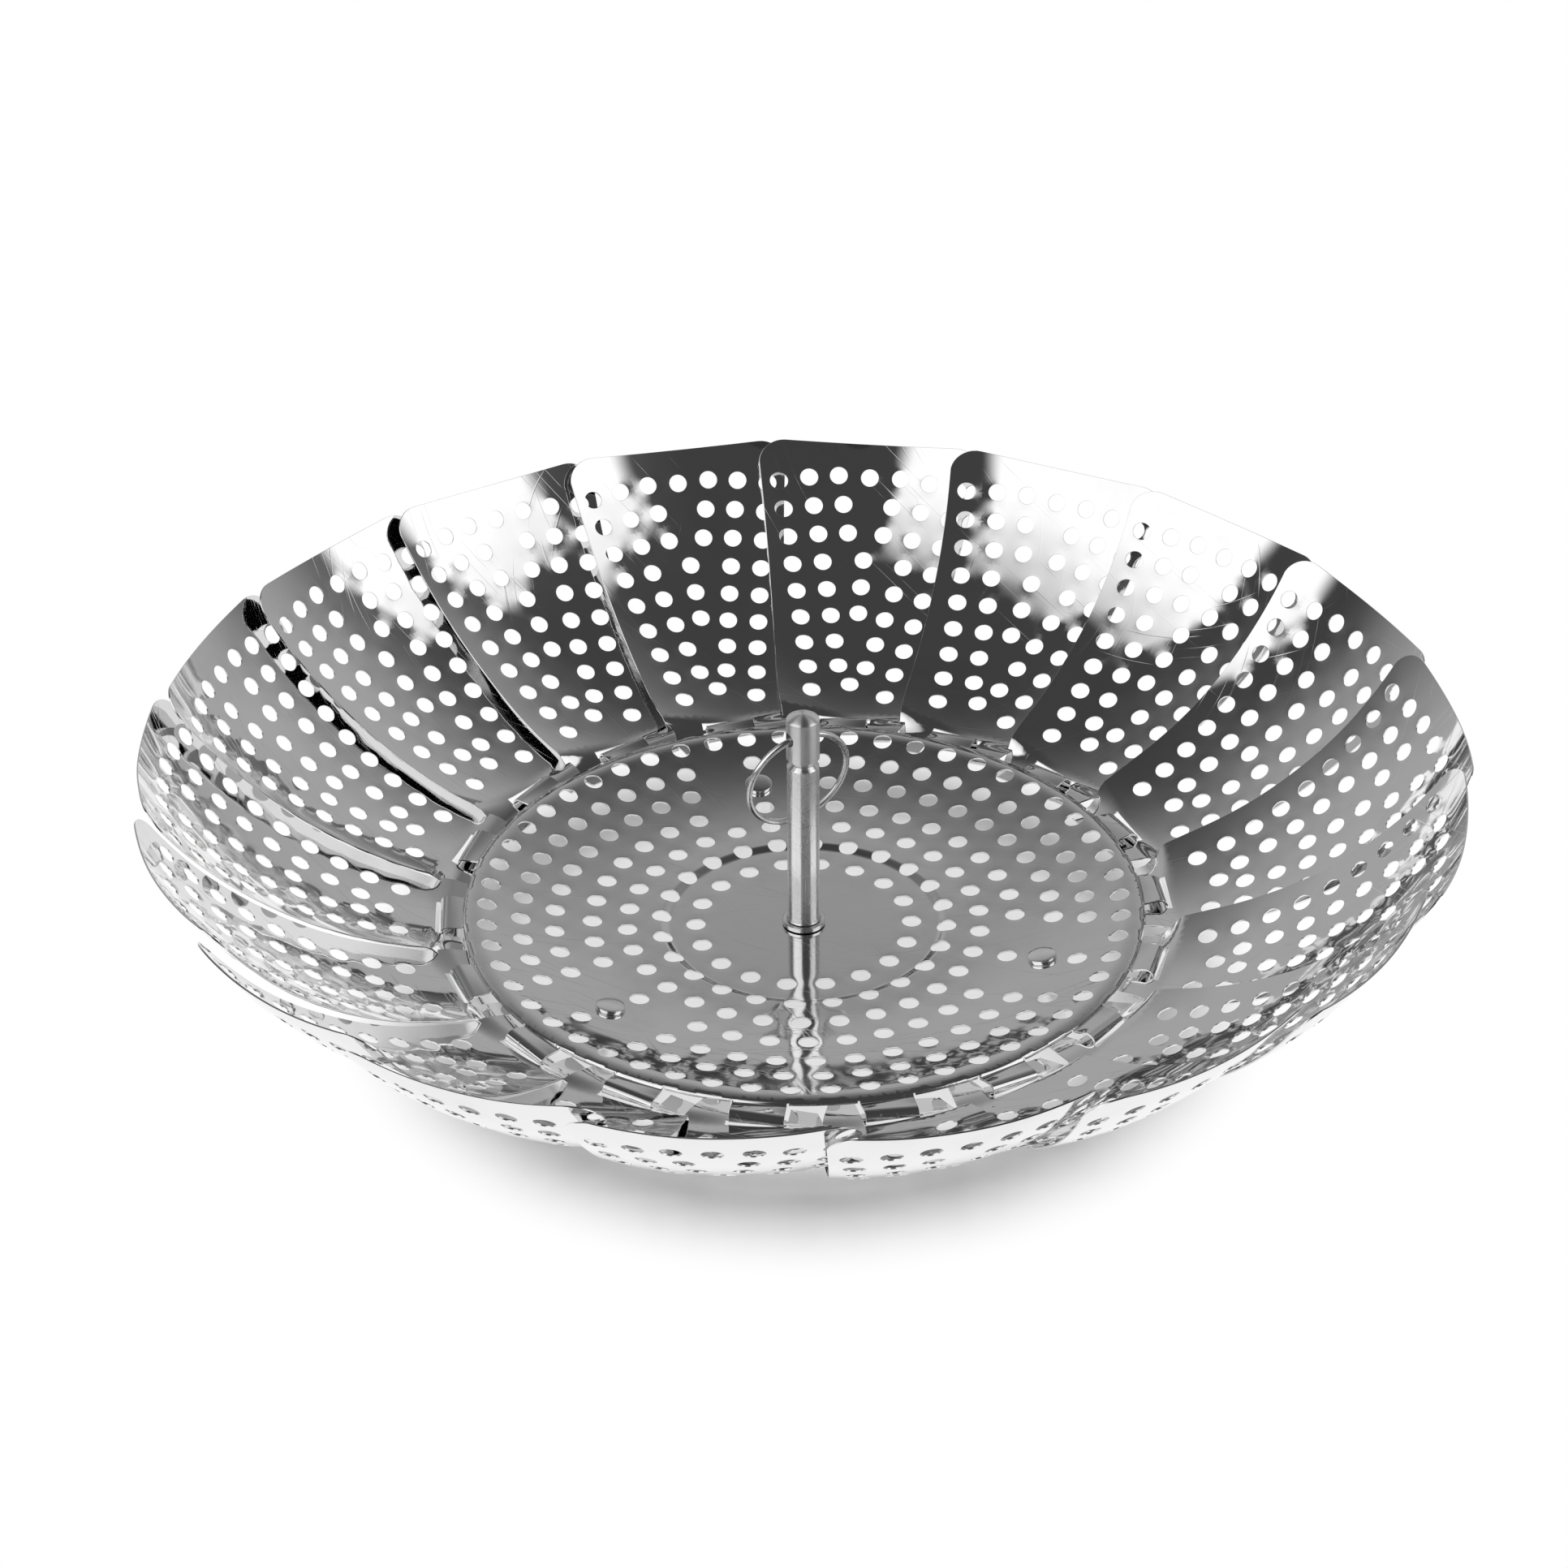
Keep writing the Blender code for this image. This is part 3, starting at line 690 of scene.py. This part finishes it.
def petalHoles():
    holes = [(along, 0.0) for along in petal["centreHoles"]]
    for offset, start, count in petal["columns"]:
        for index in range(count):
            along = start + index * petal["holePitch"]
            across = offset + petal["columnSpread"] * along
            holes += [(along, across), (along, -across)]
    return holes


# Middle of the sheet seen from the hinge axis: outwards, across and up
def petalSurface(along, across):
    p = petal
    twistShare = np.maximum(along, 0) / p["length"]
    twist = np.radians(p["baseTwist"] + (p["topTwist"] - p["baseTwist"]) * twistShare)
    blade = across ** 2 / (2 * p["crossRadius"]) + np.tan(twist) * across
    share = smoothStep(along, p["twistStart"], p["twistEnd"])
    rise = share * blade + (1 - share) * math.tan(math.radians(plate["hingeSlant"])) * across
    startSlope = math.radians(p["startSlope"])
    slope = startSlope + along / p["arcRadius"]
    radius = p["arcRadius"] - rise
    outwards = radius * np.sin(slope) - p["arcRadius"] * math.sin(startSlope)
    up = p["arcRadius"] * math.cos(startSlope) - radius * np.cos(slope)
    return outwards, across, up


# A few slow ripples that differ from petal to petal and die out at the hinge
def warpOf(along, across, rng):
    total = np.zeros(np.shape(along))
    for index in range(petal["warps"]):
        length = rng.uniform(*petal["warpLengths"])
        heading = rng.uniform(0, math.tau)
        phase = rng.uniform(0, math.tau)
        wave = math.tau / length * (along * math.cos(heading) + across * math.sin(heading)) + phase
        total += np.sin(wave) * length / petal["warpMiddle"]
    return total * petal["warpDepth"] * smoothStep(along, *petal["warpEase"])


petalHoleCentres = petalHoles()
slotSide = petal["slotWidth"] / 2
petalSlot = [(petal["strip"], -slotSide), (petal["slotReach"], -slotSide),
             (petal["slotReach"], slotSide), (petal["strip"], slotSide)]
petalSheet = punchedSheet(
    [[petalOutline(), petalSlot]], petalHoleCentres, petal["holeRadius"], petal["thickness"],
    lambda place: petal["facet"])

for index in range(plate["tongues"]):
    number = f"{index + 1:02d}"
    turn = plate["firstTurn"] + math.tau * index / plate["tongues"]
    pivot = Vector(joints[f"fold_{number}"]["pos_m"])

    def placedPetal(along, across):
        outwards, sideways, up = petalSurface(along, across)
        ripple = warpOf(along, across, np.random.default_rng([petal["seed"], index]))
        dent = holeDimples(
            along, across, petalHoleCentres, petal["holeRadius"],
            petal["dimpleDepth"], petal["dimpleReach"])
        slope = math.radians(petal["startSlope"]) + along / petal["arcRadius"]
        lift = ripple - dent
        outwards = outwards - lift * np.sin(slope)
        up = up + lift * np.cos(slope)
        return np.stack([
            pivot.x + outwards * math.cos(turn) - sideways * math.sin(turn),
            pivot.y + outwards * math.sin(turn) + sideways * math.cos(turn),
            pivot.z + up,
        ], axis=1)

    petalMesh = bentMesh(f"petal_sheet_{number}", petalSheet, placedPetal)
    addPiece(f"petal_sheet_{number}", petalMesh, f"petal_{number}", "petal_steel", f"petal_{number}")
petalSheet.free()
print("petals made:", len(petalHoleCentres), "holes and", len(petalMesh.polygons), "faces each")


turning = {
    "steps": 64,
    "fineSteps": 96,
    "mergeGap": 0.000001,
    "sharp": 32.0,
}


# Turned pieces: a profile of (radius, height) from the top down, spun about the axis
def turnedMesh(name, profile, steps=turning["steps"], matrix=None):
    form = bmesh.new()
    verts = [form.verts.new((radius, 0, height)) for radius, height in profile]
    edges = [form.edges.new(pair) for pair in zip(verts, verts[1:])]
    bmesh.ops.spin(
        form, geom=verts + edges, cent=(0, 0, 0), axis=(0, 0, 1), angle=math.tau,
        steps=steps, use_merge=True)
    bmesh.ops.remove_doubles(form, verts=form.verts, dist=turning["mergeGap"])
    bmesh.ops.recalc_face_normals(form, faces=form.faces)
    if matrix is not None:
        bmesh.ops.transform(form, matrix=matrix, verts=form.verts)
    mesh = meshFrom(form, name)
    mesh.shade_smooth()
    mesh.set_sharp_from_angle(angle=math.radians(turning["sharp"]))
    return mesh


# Points of a profile's rounding, by angles above the horizontal, in degrees
def arcPoints(centreRadius, centreHeight, radius, start, end, steps=6):
    return [
        (centreRadius + radius * math.cos(math.radians(angle)),
         centreHeight + radius * math.sin(math.radians(angle)))
        for angle in np.linspace(start, end, steps)
    ]


# A foot from its head down: the crowned head, the neck through the plate, the tapered leg
def footProfile(length):
    headTop = foot["seat"] + foot["headHeight"]
    rim = foot["headRadius"] - foot["headRound"]
    crown = foot["headCrown"]
    profile = [(rim * share, headTop - crown * share ** 2) for share in foot["crownShares"]]
    profile += arcPoints(rim, headTop - crown - foot["headRound"], foot["headRound"], *foot["headArc"])
    under = foot["seatRound"]
    profile += arcPoints(foot["headRadius"] - under, foot["seat"] + under, under, *foot["seatArc"], 4)
    profile += [(foot["neckRadius"], foot["seat"]), (foot["neckRadius"], -foot["seat"])]
    shoulder = foot["legRound"]
    profile += arcPoints(foot["legRadius"] - shoulder, -foot["seat"] - shoulder, shoulder, 90, 0, 4)
    profile += [(foot["legRadius"], foot["taper"] - length)]
    profile += [(foot["endRadius"], foot["endRound"] - length)]
    profile += [(foot["endRadius"] - foot["endRound"], -length), (0.0, -length)]
    return profile


# Each leg is turned a little too long and cut off level at the floor
def makeFeet():
    reach = foot["holeRing"] * plate["holePitch"]
    slope = math.asin((reach - plate["flatRadius"]) / plate["dishRadius"])
    height = float(dishProfile(np.array(reach)))
    for index in range(foot["count"]):
        node = f"foot_{index + 1}"
        angle = math.radians(foot["firstTurn"]) + math.tau * index / foot["count"]
        turn = Matrix.Rotation(angle, 4, "Z")
        place = turn @ Matrix.Translation((reach, 0, height)) @ Matrix.Rotation(-slope, 4, "Y")
        profile = footProfile(height / math.cos(slope) + foot["spare"])
        mesh = turnedMesh(f"rivet_foot_{index + 1}", profile, foot["steps"], place)
        level = bmesh.new()
        level.from_mesh(mesh)
        cut = bmesh.ops.bisect_plane(
            level, geom=level.verts[:] + level.edges[:] + level.faces[:], plane_co=(0, 0, 0),
            plane_no=(0, 0, -1), clear_outer=True)["geom_cut"]
        bmesh.ops.holes_fill(level, edges=[item for item in cut if isinstance(item, bmesh.types.BMEdge)])
        level.to_mesh(mesh)
        level.free()
        addPiece(f"rivet_foot_{index + 1}", mesh, "plate", "foot_steel", node)


makeFeet()
print("feet made")


# Post: washer, tube that flares at its foot, and the nut under the plate
post = {
    "washerRadius": 0.00473,
    "washerRound": 0.0003,
    "stemRadius": 0.0021,
    "flareRadius": 0.0038,
    "flareHeight": 0.0005,
    "tubeRadius": 0.0035,
    "boreRadius": 0.0025,
    "topLift": 0.0015,
    "chamfer": 0.0009,
    "lip": 0.0001,
    "gap": 0.0003,
    "floorThickness": 0.004,
    "fineRound": 0.0001,
    "endRound": 0.0002,
    "mouthArc": (45, 0),
}
nutWork = {
    "sides": 6,
    "boreSides": 48,
    "cornerShare": 1.2,
    "cornerAngle": 0.5,
    "round": 0.0002,
    "roundSegments": 3,
    "sharp": 30.0,
}


def makePost():
    washerLow, washerHigh = (corner.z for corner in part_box("post_washer"))
    bore = post["stemRadius"] + post["gap"]
    edge = post["washerRound"]
    washer = [(bore, washerHigh)]
    washer += arcPoints(post["washerRadius"] - edge, washerHigh - edge, edge, 90, 0)
    washer += [(post["washerRadius"], washerLow), (bore, washerLow), (bore, washerHigh)]
    addPiece("washer_disc", turnedMesh("washer_disc", washer), "plate", "post_steel", "post_washer")

    tubeLow, tubeHigh = (corner.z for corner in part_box("post_tube"))
    tubeHigh += post["topLift"]
    tubeFoot = washerHigh + post["gap"]
    floor = tubeFoot + post["floorThickness"]
    fine = post["fineRound"]
    flareTop = tubeFoot + post["flareHeight"]
    tube = [(0.0, floor), (post["boreRadius"], floor)]
    tube += [(post["boreRadius"], tubeHigh - post["endRound"])]
    tube += [(post["boreRadius"] + fine, tubeHigh), (post["boreRadius"] + post["lip"], tubeHigh)]
    tube += arcPoints(post["tubeRadius"] - fine, tubeHigh - post["chamfer"], fine, *post["mouthArc"], 4)
    tube += [(post["tubeRadius"], flareTop + post["endRound"])]
    tube += [(post["tubeRadius"] + fine, flareTop - fine)]
    tube += [(post["flareRadius"], tubeFoot + fine), (post["flareRadius"] - fine, tubeFoot)]
    tube += [(post["stemRadius"], tubeFoot), (post["stemRadius"], tubeLow + post["endRound"])]
    tube += [(post["stemRadius"] - post["endRound"], tubeLow), (0.0, tubeLow)]
    tubeMesh = turnedMesh("tube_shell", tube, turning["fineSteps"])
    addPiece("tube_shell", tubeMesh, "plate", "post_steel", "post_tube")


def makeNut():
    nutLow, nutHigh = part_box("post_nut")
    bore = post["stemRadius"] + post["gap"]
    inside = bore * nutWork["cornerShare"]
    nut = bmesh.new()
    bmesh.ops.create_circle(nut, cap_ends=False, segments=nutWork["sides"], radius=nutHigh.x)
    bmesh.ops.create_circle(nut, cap_ends=False, segments=nutWork["boreSides"], radius=bore)
    bmesh.ops.triangle_fill(nut, use_beauty=True, use_dissolve=False, edges=nut.edges)
    thicken(nut, nutLow.z, nutHigh.z - nutLow.z)
    corners = [edge for edge in nut.edges
               if min(vert.co.xy.length for vert in edge.verts) > inside
               and edge.calc_face_angle(0) > nutWork["cornerAngle"]]
    bmesh.ops.bevel(
        nut, geom=corners, offset=nutWork["round"], offset_type="OFFSET",
        segments=nutWork["roundSegments"], profile=0.5, affect="EDGES", material=-1)
    nutMesh = meshFrom(nut, "hex_nut")
    nutMesh.shade_smooth()
    nutMesh.set_sharp_from_angle(angle=math.radians(nutWork["sharp"]))
    addPiece("hex_nut", nutMesh, "plate", "post_steel", "post_nut")


makePost()
makeNut()
print("post made")


# Handle: the sliding rod and its cap, cross-drilled for the ring
handle = {
    "rodRadius": 0.00215,
    "capRadius": 0.0036,
    "capFootRadius": 0.0029,
    "capFootHeight": 0.001,
    "domeHeight": 0.0013,
    "domeInset": 0.00025,
    "domeStart": 86,
    "shoulderRound": 0.0003,
    "shoulderDrop": 0.0002,
    "shoulderArc": (40, 0),
    "footRound": 0.0001,
    "endRound": 0.0003,
    "boreRadius": 0.0016,
    "boreSides": 40,
    "drillLength": 0.0144,
}
ring = {
    "radius": 0.0119,
    "wire": 0.0007,
    "around": 160,
    "wireSides": 20,
    "turn": math.atan2(joints["ring_swing"]["axis"][1], joints["ring_swing"]["axis"][0]),
}


def makeHandle():
    low, high = (corner.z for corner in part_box("handle_rod"))
    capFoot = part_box("post_tube")[1].z + post["topLift"] + post["gap"]
    shoulder = high - handle["domeHeight"]
    domeRadius = (handle["capRadius"] ** 2 + handle["domeHeight"] ** 2) / (2 * handle["domeHeight"])
    rim = math.degrees(math.acos((handle["capRadius"] - handle["domeInset"]) / domeRadius))
    turned = handle["shoulderRound"]
    drop = handle["shoulderDrop"]
    fine = handle["footRound"]
    profile = [(0.0, high)]
    profile += arcPoints(0, high - domeRadius, domeRadius, handle["domeStart"], rim, 10)
    profile += arcPoints(handle["capRadius"] - turned, shoulder - drop, turned, *handle["shoulderArc"], 4)
    profile += [(handle["capRadius"], capFoot + handle["capFootHeight"])]
    profile += [(handle["capFootRadius"], capFoot + fine), (handle["capFootRadius"] - fine, capFoot)]
    profile += [(handle["rodRadius"], capFoot), (handle["rodRadius"], low + handle["endRound"])]
    profile += [(handle["rodRadius"] - handle["endRound"], low), (0.0, low)]
    mesh = turnedMesh("handle_cap", profile, turning["fineSteps"])
    piece = addPiece("handle_cap", mesh, "handle", "handle_steel", "handle_rod")

    drill = bmesh.new()
    bmesh.ops.create_cone(
        drill, cap_ends=True, segments=handle["boreSides"], radius1=handle["boreRadius"],
        radius2=handle["boreRadius"], depth=handle["drillLength"])
    across = Matrix.Rotation(ring["turn"], 4, "Z") @ Matrix.Rotation(math.pi / 2, 4, "Y")
    bmesh.ops.transform(
        drill, matrix=Matrix.Translation(joints["ring_swing"]["pos_m"]) @ across, verts=drill.verts)
    cutter = addObject("drill", meshFrom(drill, "drill"))
    boolean = piece.modifiers.new("cross hole", "BOOLEAN")
    boolean.operation = "DIFFERENCE"
    boolean.object = cutter
    graph = bpy.context.evaluated_depsgraph_get()
    drilled = bpy.data.meshes.new_from_object(piece.evaluated_get(graph))
    piece.modifiers.clear()
    piece.data = drilled
    drilled.set_sharp_from_angle(angle=math.radians(turning["sharp"]))
    bpy.data.objects.remove(cutter)


def makeRing():
    pivot = Vector(joints["ring_swing"]["pos_m"])
    lean = math.asin((post["tubeRadius"] + ring["wire"] + post["gap"]) / (2 * ring["radius"]))
    form = bmesh.new()
    bmesh.ops.create_circle(
        form, cap_ends=False, segments=ring["wireSides"], radius=ring["wire"],
        matrix=Matrix.Translation((ring["radius"], 0, 0)) @ Matrix.Rotation(math.pi / 2, 4, "X"))
    bmesh.ops.spin(
        form, geom=form.verts[:] + form.edges[:], cent=(0, 0, 0), axis=(0, 0, 1), angle=math.tau,
        steps=ring["around"], use_merge=True)
    bmesh.ops.remove_doubles(form, verts=form.verts, dist=turning["mergeGap"])
    bmesh.ops.recalc_face_normals(form, faces=form.faces)
    hang = Matrix.Translation((0, 0, -ring["radius"])) @ Matrix.Rotation(math.pi / 2, 4, "X")
    swing = Matrix.Rotation(ring["turn"], 4, "Z") @ Matrix.Rotation(lean, 4, "X")
    bmesh.ops.transform(form, matrix=Matrix.Translation(pivot) @ swing @ hang, verts=form.verts)
    mesh = meshFrom(form, "wire_ring")
    mesh.shade_smooth()
    addPiece("wire_ring", mesh, "ring", "ring_steel", "pull_ring")


makeHandle()
makeRing()
print("handle and ring made")


# Studio: a white floor that keeps the shadow in a ring round the basket, with painted light that lifts the
# shadow under the basket, a dim room with two soft boxes, which the camera itself sees as plain white, and
# one lamp overhead
studio = {
    "floorSize": 6.0,
    "floorWhite": 0.92,
    # Floor glow shares: 0.55 under the basket is painted light over its shadow, 0.05 in the ring where the
    # lamp's shadow shows
    "underGlow": 0.55,
    "shadowGlow": 0.05,
    "shadowFrom": (0.060, 0.076),
    "shadowTo": (0.076, 0.106),
    "roomDark": 0.055,
    "backGlow": 0.36,
    "rightGlow": 0.08,
    "backRange": (0.15, 0.80),
    "rightRange": (0.5, 1.0),
    "lowRange": (0.95, 0.40),
    "boxFade": 24,
    "aim": (0.0, 0.0, 0.03),
}
softboxes = {
    "left": {"azimuth": (-92, -18), "elevation": (4, 66), "soft": (8, 9), "low": 1.15, "high": 0.62},
    "right": {"azimuth": (50, 98), "elevation": (4, 50), "soft": (8, 7), "low": 1.15, "high": 0.95},
}
overhead = {"place": (0.0, 0.15, 1.5), "size": (1.3, 1.0), "power": 17.0}
cameraFlag = {"distance": 0.90, "radius": 0.12, "sides": 48, "black": 0.01}


def makeFloor():
    form = bmesh.new()
    bmesh.ops.create_grid(form, x_segments=1, y_segments=1, size=studio["floorSize"] / 2)
    mesh = meshFrom(form, "floor")
    floor = addObject("floor", mesh)
    material = bpy.data.materials.new("floor_white")
    material.use_nodes = True
    tree = material.node_tree
    tree.nodes.remove(tree.nodes["Principled BSDF"])
    lit = addNode(tree, "ShaderNodeBsdfDiffuse", {}, {"Color": grey(studio["floorWhite"])})
    glow = addNode(tree, "ShaderNodeEmission", {}, {"Color": grey(1.0), "Strength": 1.0})
    path = addNode(tree, "ShaderNodeLightPath")
    seen = mathNode(tree, "MAXIMUM", path.outputs["Is Camera Ray"], path.outputs["Is Glossy Ray"])
    seen = mathNode(tree, "MAXIMUM", seen, path.outputs["Is Transmission Ray"])
    place = addNode(tree, "ShaderNodeTexCoord").outputs["Object"]
    reach = addNode(tree, "ShaderNodeVectorMath", {"operation": "LENGTH"}, {0: place}).outputs["Value"]
    # Painted light: for camera and glossy rays the floor glows beneath the basket and lifts the shadow
    # there, glows only faintly in a ring where the lamp's shadow shows, and goes plain white beyond, over
    # the shadow's outer edge
    under = rampNode(tree, reach, *studio["shadowFrom"], studio["underGlow"], studio["shadowGlow"])
    beyond = rampNode(tree, reach, *studio["shadowTo"], 0.0, 1.0)
    amount = mathNode(tree, "MAXIMUM", under, beyond)
    mixed = addNode(tree, "ShaderNodeMixShader", {}, {
        0: mathNode(tree, "MULTIPLY", seen, amount), 1: lit.outputs[0], 2: glow.outputs[0]})
    tree.links.new(mixed.outputs[0], tree.nodes["Material Output"].inputs["Surface"])
    mesh.materials.append(material)


# Light of a soft-edged box in the room, brightest low down
def softboxLight(tree, azimuth, elevation, box):
    sides, tops = (math.radians(edge / 2) for edge in box["soft"])
    left, right = (math.radians(edge) for edge in box["azimuth"])
    bottom, top = (math.radians(edge) for edge in box["elevation"])
    across = mathNode(
        tree, "MULTIPLY", rampNode(tree, azimuth, left - sides, left + sides),
        rampNode(tree, azimuth, right + sides, right - sides))
    upright = mathNode(
        tree, "MULTIPLY", rampNode(tree, elevation, bottom - tops, bottom + tops),
        rampNode(tree, elevation, top + tops, top - tops))
    fadeStart = top - math.radians(studio["boxFade"])
    fade = rampNode(tree, elevation, fadeStart, top, box["low"], box["high"])
    return mathNode(tree, "MULTIPLY", mathNode(tree, "MULTIPLY", across, upright), fade)


def makeWorld():
    world = bpy.data.worlds.new("studio_world")
    bpy.context.scene.world = world
    world.use_nodes = True
    tree = world.node_tree
    back = tree.nodes["Background"]
    direction = addNode(tree, "ShaderNodeTexCoord").outputs["Generated"]
    axes = addNode(tree, "ShaderNodeSeparateXYZ", {}, {0: direction}).outputs
    rising = mathNode(tree, "MULTIPLY", axes["Z"], axes["Z"])
    flat = mathNode(tree, "SQRT", mathNode(tree, "SUBTRACT", 1.0, rising))
    behind = rampNode(tree, mathNode(tree, "DIVIDE", axes["Y"], flat), *studio["backRange"])
    low = rampNode(tree, axes["Z"], *studio["lowRange"])
    right = rampNode(tree, mathNode(tree, "DIVIDE", axes["X"], flat), *studio["rightRange"])
    glow = mathNode(tree, "MULTIPLY", mathNode(tree, "MULTIPLY", behind, low), studio["backGlow"])
    side = mathNode(tree, "MULTIPLY", mathNode(tree, "MULTIPLY", right, low), studio["rightGlow"])
    room = mathNode(tree, "ADD", mathNode(tree, "ADD", glow, side), studio["roomDark"])
    path = addNode(tree, "ShaderNodeLightPath")
    azimuth = mathNode(tree, "ARCTAN2", axes["X"], mathNode(tree, "MULTIPLY", axes["Y"], -1.0))
    elevation = mathNode(tree, "ARCSINE", axes["Z"])
    for box in softboxes.values():
        room = mathNode(tree, "ADD", room, softboxLight(tree, azimuth, elevation, box))
    seen = mixColour(tree, path.outputs["Is Camera Ray"], room, grey(1.0))
    tree.links.new(seen, back.inputs["Color"])


def toward(azimuth, elevation, distance):
    turn, rise = math.radians(azimuth), math.radians(elevation)
    way = Vector((math.sin(turn) * math.cos(rise), -math.cos(turn) * math.cos(rise), math.sin(rise)))
    return Vector(studio["aim"]) + way * distance


def addLamp(name, place, size, power):
    data = bpy.data.lights.new(name, "AREA")
    data.shape = "RECTANGLE"
    data.size, data.size_y = size
    data.energy = power
    lamp = addObject(name, data)
    aim = Vector(studio["aim"]) - Vector(place)
    lamp.matrix_world = Matrix.Translation(place) @ aim.to_track_quat("-Z", "Y").to_matrix().to_4x4()
    return lamp


def addCameraFlag():
    form = bmesh.new()
    bmesh.ops.create_circle(
        form, cap_ends=True, segments=cameraFlag["sides"], radius=cameraFlag["radius"])
    away = toward(0, camera["elevation"], cameraFlag["distance"])
    turn = (Vector(camera["target"]) - away).to_track_quat("Z", "Y").to_matrix().to_4x4()
    bmesh.ops.transform(form, matrix=Matrix.Translation(away) @ turn, verts=form.verts)
    mesh = meshFrom(form, "camera_flag")
    material = bpy.data.materials.new("flag_black")
    material.use_nodes = True
    shader = material.node_tree.nodes["Principled BSDF"]
    shader.inputs["Base Color"].default_value = grey(cameraFlag["black"])
    mesh.materials.append(material)
    flag = addObject("camera_flag", mesh)


makeFloor()
makeWorld()
addLamp("overhead_lamp", overhead["place"], overhead["size"], overhead["power"]).visible_glossy = False
addCameraFlag()
bpy.context.scene.view_settings.view_transform = "Standard"
print("studio made")
